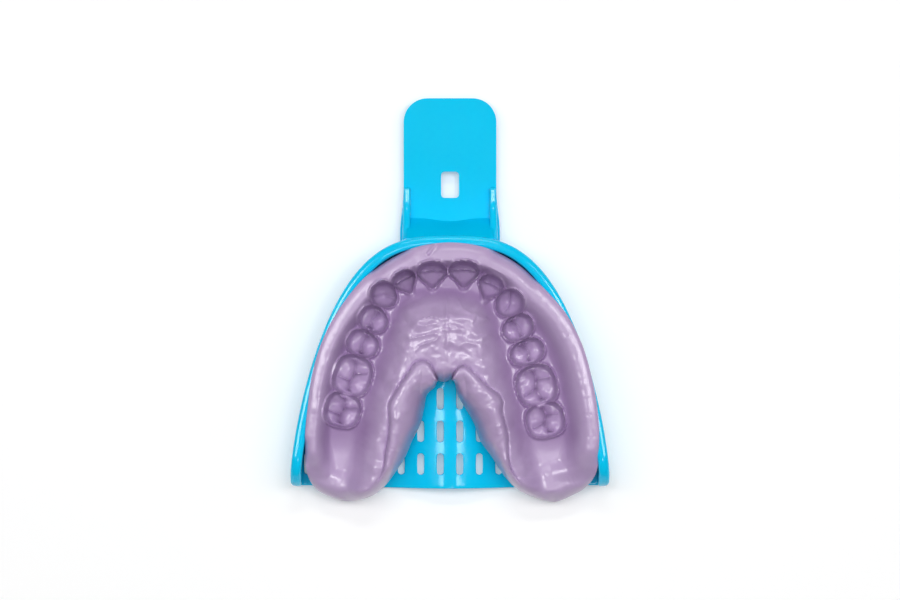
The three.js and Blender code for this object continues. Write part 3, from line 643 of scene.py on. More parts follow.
# ---- The tray ----
def rounded_section(corners, steps=5):
    """A closed section with each corner (u, v, radius) rounded off."""
    points = []
    count = len(corners)
    for i, (u, v, radius) in enumerate(corners):
        here = np.array([u, v])
        if not radius:
            points.append(here)
            continue
        back = np.array(corners[i - 1][:2]) - here
        ahead = np.array(corners[(i + 1) % count][:2]) - here
        reach = min(radius, 0.48 * np.linalg.norm(back), 0.48 * np.linalg.norm(ahead))
        a = here + back / np.linalg.norm(back) * reach
        b = here + ahead / np.linalg.norm(ahead) * reach
        for t in np.linspace(0, 1, steps):
            points.append(a * (1 - t) ** 2 + 2 * here * t * (1 - t) + b * t**2)
    return np.array(points)


def wall_section(top):
    """Wall and rolled rim from the underside's edge round to the foot of the inner wall: out from the rim, and up."""
    base = -RIM_OVERHANG - WALL_DRAFT
    inner = base - WALL_THICKNESS
    under = top - RIM_DEPTH
    return rounded_section([
        (FLOOR_INSET, 0, 0), (base, 0, 1.6), (-RIM_OVERHANG, under, 0.35), (0, under + 0.15, 0.9), (0, top, 1.25),
        (-RIM_WIDTH, top, 1.05), (-RIM_WIDTH, under + 0.1, 0.8), (-RIM_OVERHANG - WALL_THICKNESS, under - 0.25, 0.5),
        (inner, FLOOR_THICKNESS, 1.4), (FLOOR_INSET, FLOOR_THICKNESS, 0),
    ])


def inset_section(section, inset):
    """The section moved in from its own outline."""
    return section + left_normals(np.roll(section, -1, axis=0) - np.roll(section, 1, axis=0)) * inset


def tray_shell():
    """Wall, rolled rim and vaulted floor in one sweep round the arch; its two halves meet along the middle."""
    corner, cap = 1.2, 0.4
    length = np.linalg.norm(np.diff(ARCH, axis=0), axis=1).sum()
    even = np.linspace(0, 1, 261)
    places = even - 0.4 * np.sin(2 * math.pi * even) / (2 * math.pi)
    skip = cap / length
    turns = np.radians([0, 30, 55, 78])
    ends = [(cap * (1 - math.cos(t)), cap * (1 - math.sin(t))) for t in turns]
    stations = [(0.0, *end) for end in ends[::-1]]
    stations += [(place, 0.0, None) for place in skip + places[1:-1] * (1 - 2 * skip)]
    stations += [(1.0, *end) for end in ends]
    across = np.linspace(1, 0, 37)[1:, None]
    rings = []
    for place, inset, ahead in stations:
        point, out = arch_point(place)
        y = point[1] if ahead is None else HEEL_Y + ahead
        section = wall_section(float(rim_top(y)))
        past_corner = max(0.0, corner - (y - HEEL_Y))
        trim = corner - math.sqrt(corner**2 - past_corner**2)
        proud = section[:, 0] > -RIM_WIDTH
        section[proud, 0] = -RIM_WIDTH + (section[proud, 0] + RIM_WIDTH) * (1 - trim / RIM_WIDTH)
        if inset:
            inner_ends = section[[0, -1], 0]
            section = inset_section(section, inset)
            section[[0, -1], 0] = inner_ends
            section[0, 1], section[-1, 1] = inset, FLOOR_THICKNESS - inset
        ring = np.column_stack([point[0] + out[0] * section[:, 0], point[1] + out[1] * section[:, 0], section[:, 1]])
        if ahead is not None:
            ring[:, 1] = y
        # The floor runs in from the wall to the tray's middle, bowed out a little at the rear edge.
        middle = np.array([0.0, HEEL_Y + (y - HEEL_Y) * 0.87])
        foot = ring[-1, :2]
        floor_xy = middle + (foot - middle) * across
        floor_xy[:, 1] -= REAR_BOW * (1 - across[:, 0] ** 2) * max(0.0, 1 - (y - HEEL_Y) / 14) ** 2
        lift = vault_height(floor_xy[:, 0], floor_xy[:, 1])
        under = np.column_stack([floor_xy, lift + inset])[::-1]
        over = np.column_stack([floor_xy, lift + FLOOR_THICKNESS - inset])
        rings.append(np.vstack([under, ring, over]))
    rings = np.array(rings)
    for column in (0, -1):
        rings[:, column, 0] = 0
        rings[:, column, 1:] = (rings[:, column, 1:] + rings[::-1, column, 1:]) / 2
    obj = shaped_grid("shell", rings)
    cap_rear(obj, rings.shape[0], rings.shape[1], len(across))
    close_ends(obj)
    return obj


def cap_rear(obj, rows, columns, floor_columns):
    """Fills the shell's rear edge: quads between the floor's faces, and one face across each wall's end."""
    activate(obj)
    mesh = bmesh.new()
    mesh.from_mesh(obj.data)
    mesh.verts.ensure_lookup_table()
    for row in (0, rows - 1):
        verts = mesh.verts[row * columns : (row + 1) * columns]
        for k in range(floor_columns):
            low, high = k, columns - 1 - k
            mesh.faces.new((verts[low], verts[low + 1], verts[high - 1], verts[high]))
        mesh.faces.new(verts[floor_columns : columns - floor_columns])
    mesh.to_mesh(obj.data)
    mesh.free()


def slot_bars(name, centres, levels):
    """Stadium bars through the floor, one at each centre; each level is a height over the vault and a flare."""
    deselect_all()
    bpy.ops.mesh.primitive_cylinder_add(vertices=16, radius=1, depth=2)
    pattern = named("slot_bar")
    heights = np.linspace(-1, 1, len(levels))
    slice_along(pattern, heights[1:-1] / MM, (0, 0, 1))
    shape = points_of(pattern) * MM
    level = np.abs(shape[:, 2:3] - heights).argmin(1)
    lift, flare = np.array(levels)[level].T
    straight = (SLOT_LENGTH - SLOT_WIDTH) / 2
    bars = []
    for cx, cy in centres:
        bar = pattern.copy()
        bar.data = pattern.data.copy()
        bpy.context.collection.objects.link(bar)
        radius = SLOT_WIDTH / 2 + flare
        x = cx + shape[:, 0] * radius
        y = cy + shape[:, 1] * radius + np.where(np.abs(shape[:, 1]) > 0.01, np.sign(shape[:, 1]), 0) * straight
        set_points(bar, np.column_stack([x, y, vault_height(x, y) + lift]))
        bars.append(bar)
    bpy.data.objects.remove(pattern, do_unlink=True)
    return join_all(bars, name)


def handle_width(y, sizes):
    """Half width of the handle, which flares towards the wall."""
    share = smooth((FLARE_END_Y - y) / FLARE_LENGTH)
    return sizes.handle_half_width + (sizes.handle_root_half_width - sizes.handle_half_width) * share


def handle_top(sizes):
    """Height of the handle's upper face."""
    return sizes.handle_low + sizes.handle_thickness


def handle_plate(sizes):
    """The flat handle with rounded corners, its flared root and its rectangular hole."""
    half, low, high = sizes.handle_half_width, sizes.handle_low, handle_top(sizes)
    plate = cube_between("handle", (-half, HANDLE_ROOT_Y, low), (half, HANDLE_TIP_Y, high))
    tip = (HANDLE_TIP_Y - 1) * MM
    round_edges(plate, lambda edge: upright(edge) and edge.verts[0].co.y > tip, sizes.handle_corner, 14)
    slice_along(plate, np.linspace(HANDLE_ROOT_Y + 2, FLARE_END_Y, 12), (0, 1, 0))
    points = points_of(plate)
    at_root = points[:, 1] < FLARE_END_Y + 0.1
    points[at_root, 0] = np.sign(points[at_root, 0]) * handle_width(points[at_root, 1], sizes)
    set_points(plate, points)
    hole = cube_between(
        "hole", (-HOLE_HALF_WIDTH, HOLE_Y - HOLE_HALF_LENGTH, low - 2),
        (HOLE_HALF_WIDTH, HOLE_Y + HOLE_HALF_LENGTH, high + 2))
    round_edges(hole, upright, HOLE_CORNER, 6)
    cut_with(plate, hole)
    soften(plate, 0.32, 50)
    return plate


def handle_rib(side, sizes):
    """A side rib with a rounded nose and a hollow crest that climbs to the wall."""
    low, high, nose = sizes.handle_low + 0.6, handle_top(sizes), FLARE_END_Y
    turns = np.radians(np.linspace(0, 80, 7))
    cap = 0.8
    stations = [(y, 0.0) for y in np.linspace(HANDLE_ROOT_Y, nose - cap, 40)[:-1]]
    stations += [(nose - cap + cap * math.sin(t), cap * (1 - math.cos(t))) for t in turns]
    rings = []
    for y, inset in stations:
        climb = min(1, max(0, (nose - 2 - y) / (nose - 1.5 - RIM_FRONT_Y)))
        top = high + 2.4 + 5.1 * climb**2.3
        lean = 0.35 * (float(handle_width(y, sizes)) - sizes.handle_half_width)
        outer = sizes.handle_half_width + lean - 0.06
        inner = outer - 1.7 - 0.3 * climb
        section = rounded_section([(outer, low, 0), (outer, top, 0.85), (inner, top, 0.85), (inner, low, 0)])
        if inset:
            section = np.column_stack([
                np.clip(section[:, 0], inner + inset, outer - inset), np.minimum(section[:, 1], top - inset)])
        rings.append(np.column_stack([side * section[:, 0], np.full(len(section), y), section[:, 1]]))
    return closed_sweep("rib", np.array(rings))


def rib_foot(side, sizes):
    """The flared foot between a rib and the wall, sloping outwards from the rib's crest to the handle's edge."""
    half, root_half = sizes.handle_half_width, sizes.handle_root_half_width
    low, high = sizes.handle_low + 0.3, handle_top(sizes)
    foot = cube_between("foot", (0, 0, 0), (1, 1, 1))
    root, front = HANDLE_ROOT_Y, RIM_FRONT_Y + 5.0
    corner = {
        (0, 0, 0): (half - 1.5, root, low), (1, 0, 0): (root_half + 0.2, root, low),
        (0, 1, 0): (half - 1.5, front, low), (1, 1, 0): (half + 0.25, front, low),
        (0, 0, 1): (half - 1.5, root, high + 7.4), (1, 0, 1): (half - 0.7, root, high + 7.4),
        (0, 1, 1): (half - 1.5, front, high + 2.6), (1, 1, 1): (half - 0.2, front, high + 2.3),
    }
    points = np.array([corner[tuple(int(round(v)) for v in p)] for p in points_of(foot)])
    points[:, 0] *= side
    set_points(foot, points)
    face_outwards(foot)
    soften(foot, 0.3, 20)
    return foot


def root_fillet(sizes):
    """The hollow fillet between the handle's face and the wall, a little deeper at its middle."""
    high, foot = handle_top(sizes), RIM_FRONT_Y + 4.6
    reach = sizes.handle_half_width - 0.8
    fillet = cube_between("fillet", (-reach, HANDLE_ROOT_Y, high - 1.0), (reach, foot, high))
    slice_along(fillet, np.linspace(RIM_FRONT_Y - 0.6, foot - 0.15, 14), (0, 1, 0))
    slice_along(fillet, np.linspace(-reach, reach, 15)[1:-1], (1, 0, 0))
    points = points_of(fillet)
    top = points[:, 2] > high - 0.1
    # The fillet's edge on the handle's face bows in towards the middle of the handle.
    bow = 0.8 * np.cos(math.pi * points[:, 0] / (1.5 * reach)).clip(0, 1) ** 2
    share = np.clip((points[:, 1] - RIM_FRONT_Y + 0.6) / (foot - RIM_FRONT_Y + 0.6), 0, 1)
    points[:, 1] += np.where(points[:, 1] > RIM_FRONT_Y - 1, -bow * share, 0)
    points[top, 2] = high + 0.06 + 11.0 * (1 - share[top]) ** 1.15
    set_points(fillet, points)
    return fillet


def build_tray(sizes):
    """The whole moulding as one closed mesh."""
    shell = tray_shell()
    cut_with(shell, slot_bars("slot_cutters", slot_centres(), [
        (-1.0, 0.3), (-0.22, 0.3), (0.16, 0.0), (FLOOR_THICKNESS - 0.16, 0.0), (FLOOR_THICKNESS + 0.22, 0.3),
        (FLOOR_THICKNESS + 1.0, 0.3)]))
    handle = handle_plate(sizes)
    ribs = [make(side, sizes) for make in (handle_rib, rib_foot) for side in (-1, 1)]
    for part in [root_fillet(sizes), *ribs]:
        cut_with(handle, part, "UNION")
    # The handle's root ends in the middle of the wall's thickness.
    count, bottom, top = 60, -1.0, 19.0
    mid_wall = arch_point(np.linspace(0.36, 0.64, count), RIM_OVERHANG + WALL_DRAFT + WALL_THICKNESS / 2)[0]
    back = np.full(count, -8.0)
    rings = [
        np.column_stack([mid_wall[:, 0], y, np.full(count, z)])
        for y, z in ((mid_wall[:, 1], bottom), (mid_wall[:, 1], top), (back, top), (back, bottom))
    ]
    cut_with(handle, closed_sweep("trim", np.array(rings).transpose(1, 0, 2)))
    cut_with(shell, handle, "UNION")
    shell.name = shell.data.name = "tray_moulding"
    return shell


# ---- The impression ----
class Imprint:
    """The silicone's edges and the height of its upper surface."""

    def __init__(self, sizes):
        self.sizes = sizes
        outer = [tuple(arch_point(place, inset)[0]) for place, inset in OUTER_EDGE]
        left, right = share_point(LEFT_HEEL_TIP), share_point(RIGHT_HEEL_TIP)
        outside = [left, *map(share_point, LEFT_HEEL_OUTSIDE), *outer, *map(share_point, reversed(RIGHT_HEEL_OUTSIDE))]
        inside = [left, *map(share_point, LEFT_HEEL_INSIDE + GAP_EDGE + RIGHT_HEEL_INSIDE), right]
        loop = smooth_curve(outside + inside[:0:-1], 4001, closed=True)
        loop[:, 1] = np.maximum(loop[:, 1], HEEL_TIP_Y)
        split = int(np.argmin(np.linalg.norm(loop - right, axis=1)))
        self.outside = resample(loop[: split + 1], 1201)
        self.inside = resample(loop[split:][::-1], 901)
        self.left_roll = smooth_curve(LEFT_ROLL_LINE, 121)
        self.right_roll = smooth_curve(RIGHT_ROLL_LINE, 121)

    def tissue(self, x, y, gap, place):
        """The imprint of gum and palate: low beside the teeth, then a slope up to the palate."""
        s = self.sizes
        gum_line = np.interp(place, *np.array(GUM_INSET).T)
        inward = gap - gum_line
        rise = s.palate_height * smooth((inward + 1.0) / s.palate_slope)
        crown = s.crown_height * bump(x + 0.5, 8.0) * bump(y + 8.0, 9.0)
        heel_fall = s.heel_slope * np.maximum(0, -27 - y)
        trough = 0.9 * smooth((-30 - y) / 9) * (1 - 0.6 * smooth((inward + 1.0) / s.palate_slope))
        on_palate = smooth((inward + 0.5) / 5)
        grain = 0.34 * cloud_noise(x / 2.7 + 3, y / 2.1, 11) + 0.07 * cloud_noise(x / 1.1, y / 0.9, 12)
        warp = 1.3 * cloud_noise(x / 5 + 2, y / 5, 15)
        folds = 1 - np.abs(cloud_noise(x / 5.5 + 7, (y + warp + 0.25 * np.abs(x)) / 2.1, 13))
        behind_teeth = smooth((y + 15.5) / 4) * smooth((13 - np.abs(x + 0.5)) / 4)
        rugae = (0.45 * folds**3 + 0.14 * cloud_noise(x / 1.7, y / 1.5, 16)) * behind_teeth
        raphe = 0.3 * bump(x + 0.6 + 0.3 * warp, 0.55) * smooth((y + 16) / 5) * smooth((3 - y) / 3)
        return GUM_Z + rise + crown - heel_fall - trough + (grain + rugae + raphe) * on_palate

    def edge_heights(self, inset, y):
        """Heights of the surface's outer and inner edges: over the rim, down inside it, and low at the heels."""
        s = self.sizes
        spill = smooth((RIM_WIDTH + 0.15 - inset) / 0.4)
        tip = smooth((-42 - y) / 7)
        outer = s.roll_foot + (RIM_TOP + 0.42 - s.roll_foot) * spill * smooth((y + 42) / 8)
        inner = s.gap_edge + 2.5 * smooth((y + 34) / 14)
        return outer * (1 - tip) + s.heel_edge * tip, inner * (1 - tip) + s.heel_edge * tip

    def height(self, points):
        """Height of the upper surface at points given in mm."""
        s = self.sizes
        x, y = points[:, 0], points[:, 1]
        from_outside, place = line_distance(self.outside[::4], points)
        from_inside, along_inside = line_distance(self.inside[::3], points)
        arch_gap, arch_place = line_distance(ARCH[::8], points)
        tissue = self.tissue(x, y, arch_gap, arch_place)
        foot, edge = self.edge_heights(arch_gap - from_outside, y)
        # Border roll: foot on or inside the rim, crest, then a slope down to the gum.
        crest_z = s.roll_crest + 0.5 * np.sin(2 * math.pi * (place - 0.25)) ** 2
        crest_z = crest_z - s.heel_slope * 0.75 * np.maximum(0, -27 - y)
        crest_z = crest_z + (tissue + 1.3 - crest_z) * smooth((-37 - y) / 9)
        front = np.sin(math.pi * place) ** 4
        width = s.roll_width * (1 + 0.42 * smooth((x - 8) / 12) * smooth((8 - y) / 8) + 0.25 * smooth((-34 - y) / 10))
        crest = s.roll_width * (0.37 + 0.15 * front + 0.2 * smooth((-40 - y) / 6))
        climb = quarter_round(from_outside / crest)
        brow = crest * (1 + 0.35 * front)
        fall = 0.5 * (1 + np.cos(math.pi * np.clip((from_outside - brow) / (width * 1.05 - brow), 0, 1)))
        rise = foot + (crest_z - foot) * climb
        slope = tissue + (crest_z - tissue) * fall
        surface = np.where(from_outside < crest, rise, slope)
        # The edge along the gap is rounded over, in the notch's lobe and round the heels.
        surface = edge + (surface - edge) * quarter_round(from_inside / s.gap_round)
        # Rolls along the gap, proud of the tissue's imprint, with a crease where they meet it.
        in_roll, share, crease = self.gap_roll(points, from_inside)
        top = tissue + s.gap_roll_height
        turn = 0.78
        inner_side = edge + (top - edge) * quarter_round(share / turn)
        past = np.clip((share - turn) / (1 - turn), 0, 1)
        roll = np.where(share < turn, inner_side, tissue + s.gap_roll_height * np.sqrt(1 - past**2))
        away = smooth((from_outside - crest) / 2.0) * smooth((y + 47.5) / 8)
        surface = np.where(in_roll, surface + (roll - surface) * away, surface)
        surface -= s.crease_depth * bump(crease, 0.3) * away * smooth(from_inside / 0.8)
        # A short fold in the roll's front, beside the middle.
        fold, run = line_distance(np.array([[-5.4, 11.6], [-4.4, 12.9], [-3.3, 14.3]]), points)
        surface += 0.32 * bump(fold, 0.34) - 0.2 * bump(fold - 0.75, 0.35)
        # Fine wrinkles across the rolls, strongest at the sides and heels.
        run = place * OUTSIDE_LENGTH
        wrinkles = cloud_noise(run / 0.55, from_outside / 2.4, 21) * 0.6 + cloud_noise(run / 1.4, from_outside / 3, 22)
        on_crest = bump(from_outside - crest, 1.5) * (0.4 + 0.6 * smooth((4 - y) / 14))
        surface += 0.07 * wrinkles * on_crest
        run = along_inside * INSIDE_LENGTH
        wrinkles = cloud_noise(run / 0.6, from_inside / 2.6, 23) + cloud_noise(run / 1.7, from_inside / 3, 24)
        surface += 0.08 * wrinkles * bump(crease - 2.2, 1.6) * in_roll * away
        return self.with_sockets(points, surface)

    def gap_roll(self, points, from_inside):
        """Which points are on the rolls along the gap, their share of the way to the crease, and how far it is."""
        inside = self.inside
        mask = np.zeros(len(points), bool)
        share = np.ones(len(points))
        crease = np.full(len(points), 99.0)
        for line, edge in ((self.left_roll, inside), (self.right_roll, inside[::-1])):
            ends = (line[-1], line[0])
            from_heel, to_notch = (int(np.argmin(np.linalg.norm(edge - end, axis=1))) for end in ends)
            polygon = np.vstack([line, edge[from_heel:to_notch]])
            here = inside_polygon(polygon, points)
            to_line = line_distance(line, points)[0]
            crease = np.minimum(crease, to_line)
            share[here] = from_inside[here] / (from_inside[here] + to_line[here] + 1e-6)
            mask |= here
        return mask, share, crease

    def with_sockets(self, points, surface):
        """Sinks the tooth sockets into the surface, each with a raised margin and its own floor."""
        s = self.sizes
        margin = np.zeros(len(points))
        cuts = []
        for kind, centre_x, centre_y, along, across, depth in SOCKETS:
            shape = KINDS[kind]
            centre = np.array([centre_x, centre_y])
            place = line_distance(ARCH[::4], centre[None])[1][0]
            out = arch_point(place)[1]
            out = out / np.linalg.norm(out)
            rel = points - centre
            near = np.flatnonzero((rel**2).sum(1) < (0.9 * max(along, across)) ** 2)
            a, b = rel[near] @ [out[1], -out[0]], rel[near] @ out
            half_a, half_b = along / 2, across / 2
            a_here = half_a * (1 - shape["pinch"] * smooth((0.25 * half_b - b) / (1.25 * half_b)))
            n = shape["square"]
            rho = ((np.abs(a) / a_here) ** n + (np.abs(b) / half_b) ** n) ** (1 / n)
            size = np.minimum(a_here, half_b)
            margin[near] = np.maximum(margin[near], s.margin_height * bump((rho - 1.06) * size, 0.28))
            floor, wall = self.socket_floor(kind, a / half_a, b / half_b, a, b, half_a, half_b, rho, size)
            cuts.append((near, wall, GUM_Z + 1.0 - depth + floor))
        surface = surface + margin
        for near, wall, floor in cuts:
            top = surface[near]
            surface[near] = top + (np.minimum(floor, top) - top) * wall
        high = np.maximum(surface - LEVEL_FROM, 0)
        return np.minimum(surface, LEVEL_FROM) + LEVEL_BY * (1 - np.exp(-high / LEVEL_BY))

    def socket_floor(self, kind, u, v, a, b, half_a, half_b, rho, size):
        """Relief of a socket's floor in mm, and how far down the wall each point is, from 0 to 1."""
        steep = np.clip((1 - rho) * size / 1.05, 0, 1)
        wall = 1 - (1 - steep) ** 2.4
        local = np.column_stack([a, b])
        relief = np.zeros(len(a))
        if kind == "incisor":
            groove = 0.36 - 0.16 * u**2
            inward = np.clip((groove - v) / (1 + groove), 0, 1)
            relief += 1.5 * smooth((groove - v) / 0.16) + 3.4 * inward**1.1
            relief += 2.4 * np.clip((v - groove) / (1 - groove), 0, 1) ** 1.3
            relief += 0.3 * bump(np.abs(u) - 0.4, 0.16) * smooth((0.2 - v) * 3) * smooth((v + 0.7) * 3)
        elif kind == "canine":
            relief += 3.0 * np.clip(np.hypot(u, v - 0.12), 0, 1) ** 1.2
        else:
            relief += 1.0 * rho**3 + 0.28 * cloud_noise(a / 1.2 + half_a * 7, b / 1.2, 31)
        for line in FISSURES[kind]:
            path = np.array(line) * [half_a, half_b]
            if len(line) > 2:
                path = smooth_curve(path, 25)
            distance, run = line_distance(path, local)
            taper = smooth((1.02 - rho) * 3)
            relief += (1.35 * np.exp(-distance / 0.9) + 0.4 * bump(distance, 0.24)) * taper * (1 - 0.3 * run)
        return relief, wall


def spaced_rows(count, tightness=0.85, reach=4.0):
    """Shares from 0 to 1 that crowd together at both ends."""
    index = np.arange(count)
    gap = 1 - tightness * (np.exp(-index / reach) + np.exp(-(count - 1 - index) / reach))
    total = running_total(gap)
    return total / total[-1]


def over_floor(points):
    """Height of the silicone's underside over the floor."""
    return vault_height(points[:, 0], points[:, 1]) + FLOOR_THICKNESS + FLOOR_GAP


def impression_block(imprint, stations=600, top_rows=116):
    """The silicone as one tube round the arch: outer side, upper surface, side along the gap, and underside."""
    even = 0.0015 + 0.997 * spaced_rows(stations, 0.8, 6.0)
    outer = along_line(imprint.outside, even)
    inner = along_line(imprint.inside, even)
    across = spaced_rows(top_rows)
    top_xy = outer[:, None] + (inner - outer)[:, None] * across[None, :, None]
    top_z = imprint.height(top_xy.reshape(-1, 2)).reshape(len(even), -1)
    inset, _ = line_distance(ARCH[::4], outer)
    foot, _ = imprint.edge_heights(inset, outer[:, 1])
    _, gap_edge = imprint.edge_heights(inset, inner[:, 1])
    top_z[:, 0], top_z[:, -1] = foot, gap_edge
    top = np.dstack([top_xy, top_z])
    inward = -outward_of(outer)
    inward[0], inward[-1] = inward[1], inward[-2]
    past_heel = smooth((outer[:, 1] - HEEL_Y - 0.5) / 2.5)[:, None]

    def side_point(wanted, height):
        """A point on the outer side, held at least some way in from the rim's outer edge."""
        move = np.maximum(wanted - inset, 0)[:, None] * past_heel
        return np.column_stack([outer + inward * move, height])

    base = over_floor(outer)
    shoulder = np.minimum(13.9, base + 0.8 * (foot - base))
    upper = np.minimum(RIM_TOP + 0.05, foot - 0.1)
    throat = np.minimum(15.0, 0.5 * (shoulder + upper))
    sides = [side_point(BESIDE_WALL, base + (shoulder - base) * share) for share in (0, 0.12, 0.4, 0.7, 1)]
    sides += [side_point(BESIDE_RIM, throat), side_point(BESIDE_RIM, 0.4 * throat + 0.6 * upper)]
    sides.append(side_point(UNDER_LIP, upper - 0.05))
    sides.append(np.column_stack([outer + inward * 0.3 * (inset < RIM_WIDTH)[:, None], upper]))
    gap_side = [
        np.column_stack([inner, gap_edge + (over_floor(inner) - gap_edge) * share])
        for share in (0.08, 0.2, 0.36, 0.55, 0.75, 0.92, 1)
    ]
    low_outer = sides[0][:, :2]
    under = [low_outer + (inner - low_outer) * share for share in np.linspace(1, 0, 14)[1:-1]]
    under = [np.column_stack([points, over_floor(points)]) for points in under]
    rings = np.concatenate([np.stack(sides, 1), top, np.stack(gap_side, 1), np.stack(under, 1)], axis=1)
    return closed_sweep("block", rings)


def build_impression(sizes):
    """The silicone block with the plugs that fill the slots under it."""
    imprint = Imprint(sizes)
    block = impression_block(imprint)
    centres = slot_centres()
    outline = np.vstack([imprint.outside[::6], imprint.inside[::-6]])
    edge_gap = line_distance(np.vstack([outline, outline[:1]]), centres)[0]
    ends = [inside_polygon(outline, centres + [0, shift]) for shift in (-SLOT_LENGTH / 2, 0, SLOT_LENGTH / 2)]
    covered = centres[np.all(ends, axis=0) & (edge_gap > SLOT_WIDTH / 2 + 0.4)]
    plugs = slot_bars("plugs", covered, [(PLUG_RECESS, -0.5), (PLUG_RECESS + 0.12, -0.2), (PLUG_RECESS + 0.5, -0.03),
                                         (1.2, -0.03), (1.8, -0.03), (FLOOR_THICKNESS + 0.4, -0.03)])
    return join_all([block, plugs], "silicone_impression")


# ---- Stage ----
LIT_POINT = (0, 0, 0.01)
# Name, place, size, share of the key light's power, and the rays that it is hidden from.
LIGHTS = [
    ("overhead_softbox", (0.05, 0.1, 1.7), (0.8, 0.8), 1.0, "visible_glossy"),
    ("left_strip", (-0.42, 0.16, 1.1), (0.24, 0.55), 0.18, None),
    ("right_strip", (0.44, 0.14, 1.1), (0.24, 0.55), 0.18, None),
    ("front_strip", (0.0, 0.55, 0.95), (0.4, 0.1), 0.12, None),
    ("left_glint", (-0.5, 0.1, 1.05), (0.34, 0.6), 0.5, "visible_diffuse"),
    ("right_glint", (0.52, 0.1, 1.05), (0.34, 0.6), 0.5, "visible_diffuse"),
    ("rear_glint", (0.06, -0.34, 1.15), (0.22, 0.22), 0.09, "visible_diffuse"),
]
CAMERA_DISTANCE = 1.2
VIEW_WIDTH = 0.225
SENSOR_WIDTH = 36


def stage_floor(sizes):
    deselect_all()
    bpy.ops.mesh.primitive_plane_add(size=4)
    floor = named("table")
    floor.location.z = -0.0004
    tree = NodeTree("white_table")
    fill(tree.shader, {
        "Base Color": (*sizes.table_colour, 1), "Roughness": 0.9, "Specular IOR Level": 0.1,
        "Emission Color": (1, 1, 1, 1), "Emission Strength": 0.14,
    })
    floor.data.materials.append(tree.material)


def area_light(name, place, size, watts):
    """A rectangular softbox that points at the middle of the tray."""
    deselect_all()
    bpy.ops.object.light_add(type="AREA", location=place)
    light = bpy.context.object
    light.name = name
    light.data.shape = "RECTANGLE"
    light.data.size, light.data.size_y = size
    light.data.energy = watts
    light.rotation_euler = (Vector(LIT_POINT) - Vector(place)).to_track_quat("-Z", "Y").to_euler()
    return light


def build_stage(sizes):
    stage_floor(sizes)
    scene = bpy.context.scene
    for name, place, size, share, hidden_from in LIGHTS:
        light = area_light(name, place, size, sizes.key_power * share)
        if hidden_from:
            setattr(light, hidden_from, False)
    world = bpy.data.worlds.new("studio")
    scene.world = world
    world.use_nodes = True
    background = world.node_tree.nodes["Background"]
    fill(background, {"Color": (1, 1, 1, 1), "Strength": sizes.sky_strength})
    deselect_all()
    bpy.ops.object.camera_add(location=(0, 0, CAMERA_DISTANCE + RIM_TOP * MM))
    camera = bpy.context.object
    camera.name = "overhead_camera"
    camera.data.sensor_width = SENSOR_WIDTH
    camera.data.lens = SENSOR_WIDTH * CAMERA_DISTANCE / VIEW_WIDTH
    camera.data.clip_end = 20
    scene.camera = camera
    scene.view_settings.view_transform = "Standard"


# ---- Add-on ----
class TraySizes(PropertyGroup):
    handle_half_width: FloatProperty(
        name="Handle half width", description="Half of the handle's width, mm", default=11.7)
    handle_root_half_width: FloatProperty(
        name="Handle root half width", description="Half of the handle's width at the wall, mm", default=12.6)
    handle_corner: FloatProperty(name="Handle corner", description="Radius of the handle's corners, mm", default=6.0)
    handle_low: FloatProperty(name="Handle height", description="Height of the handle's underside, mm", default=2.6)
    handle_thickness: FloatProperty(name="Handle thickness", description="Thickness of the handle, mm", default=2.2)
    plastic_colour: FloatVectorProperty(
        name="Plastic colour", description="Colour of the moulded plastic", subtype="COLOR", size=3,
        default=(0.0, 0.59, 0.92))


class ImpressionSizes(PropertyGroup):
    roll_crest: FloatProperty(name="Roll crest", description="Height of the border roll's crest, mm", default=18.4)
    roll_width: FloatProperty(name="Roll width", description="Width of the border roll, mm", default=6.2)
    roll_foot: FloatProperty(
        name="Roll foot", description="Height of the roll's edge inside the rim, mm", default=15.0)
    gap_edge: FloatProperty(name="Gap edge", description="Height of the edge along the gap, mm", default=6.8)
    gap_round: FloatProperty(name="Gap rounding", description="How far in the gap's edge is rounded, mm", default=3.2)
    gap_roll_height: FloatProperty(name="Gap roll", description="How far the gap's rolls stand proud, mm", default=1.9)
    crease_depth: FloatProperty(
        name="Crease", description="Depth of the crease beside the gap's rolls, mm", default=0.5)
    heel_edge: FloatProperty(name="Heel edge", description="Height of the edge round the heels, mm", default=5.2)
    heel_slope: FloatProperty(name="Heel slope", description="Fall of the surface towards the heels", default=0.1)
    palate_height: FloatProperty(name="Palate height", description="Rise from the gum to the palate, mm", default=5.4)
    palate_slope: FloatProperty(name="Palate slope", description="Width of the slope up to the palate, mm", default=8.5)
    crown_height: FloatProperty(name="Palate crown", description="Extra height in the palate's middle, mm", default=1.2)
    margin_height: FloatProperty(name="Margin", description="Height of the margin round each socket, mm", default=1.1)
    # The silicone's pale tone, which also carries its painted light on raised places, heels and sockets.
    silicone_pale_and_lit: FloatVectorProperty(
        name="Silicone light colour", description="Light tone of the silicone", subtype="COLOR", size=3,
        default=(0.475, 0.353, 0.563))
    # The silicone's dark tone, which also carries its painted shade in low places.
    silicone_dark_and_shaded: FloatVectorProperty(
        name="Silicone deep colour", description="Deep tone of the silicone", subtype="COLOR", size=3,
        default=(0.325, 0.21, 0.408))


class StageSizes(PropertyGroup):
    key_power: FloatProperty(name="Key light", description="Power of the main softbox", unit="POWER", default=13.0)
    sky_strength: FloatProperty(name="Sky", description="Strength of the light from all round", default=0.15)
    table_colour: FloatVectorProperty(
        name="Table colour", description="Colour of the table", subtype="COLOR", size=3, default=(0.9, 0.9, 0.9))


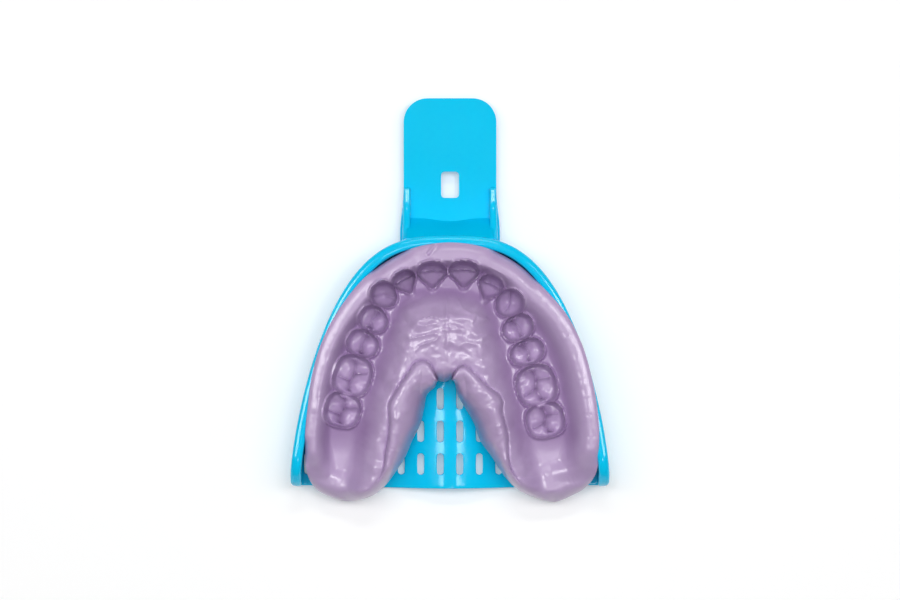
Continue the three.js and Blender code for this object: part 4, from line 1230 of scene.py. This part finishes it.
class IMPRESSION_OT_tray(Operator):
    """Build the slotted tray with its handle"""

    bl_idname = "impression.build_tray"
    bl_label = "Tray"

    def execute(self, context):
        sizes = context.scene.tray_sizes
        tray = build_tray(sizes)
        tray.data.materials.append(plastic_material(sizes))
        finish_piece(tray, "tray")
        return {"FINISHED"}


class IMPRESSION_OT_silicone(Operator):
    """Build the silicone impression with its tooth sockets"""

    bl_idname = "impression.build_silicone"
    bl_label = "Silicone impression"

    def execute(self, context):
        sizes = context.scene.impression_sizes
        impression = build_impression(sizes)
        impression.data.materials.append(silicone_material(sizes))
        finish_piece(impression, "impression")
        return {"FINISHED"}


class IMPRESSION_OT_stage(Operator):
    """Build the table, the lights and the camera"""

    bl_idname = "impression.build_stage"
    bl_label = "Stage"

    def execute(self, context):
        build_stage(context.scene.stage_sizes)
        return {"FINISHED"}


class IMPRESSION_PT_panel(Panel):
    """Lists the pieces in the sidebar"""

    bl_idname = "IMPRESSION_PT_panel"
    bl_label = "Impression Tray"
    bl_space_type = "VIEW_3D"
    bl_region_type = "UI"
    bl_category = "Impression Tray"

    def draw(self, context):
        for operator, group, _ in PIECES:
            box = self.layout.box()
            box.operator(operator)
            sizes = getattr(context.scene, group)
            for name in sizes.__annotations__:
                box.prop(sizes, name)


PIECES = [
    ("impression.build_tray", "tray_sizes", TraySizes),
    ("impression.build_silicone", "impression_sizes", ImpressionSizes),
    ("impression.build_stage", "stage_sizes", StageSizes),
]
CLASSES = [
    TraySizes, ImpressionSizes, StageSizes, IMPRESSION_OT_tray, IMPRESSION_OT_silicone, IMPRESSION_OT_stage,
    IMPRESSION_PT_panel,
]


def register():
    for cls in CLASSES:
        bpy.utils.register_class(cls)
    for _, group, kind in PIECES:
        setattr(bpy.types.Scene, group, PointerProperty(type=kind))


def unregister():
    for _, group, _ in PIECES:
        delattr(bpy.types.Scene, group)
    for cls in reversed(CLASSES):
        bpy.utils.unregister_class(cls)


def main():
    register()
    bpy.ops.impression.build_tray()
    bpy.ops.impression.build_silicone()
    bpy.ops.impression.build_stage()


if __name__ == "__main__":
    main()
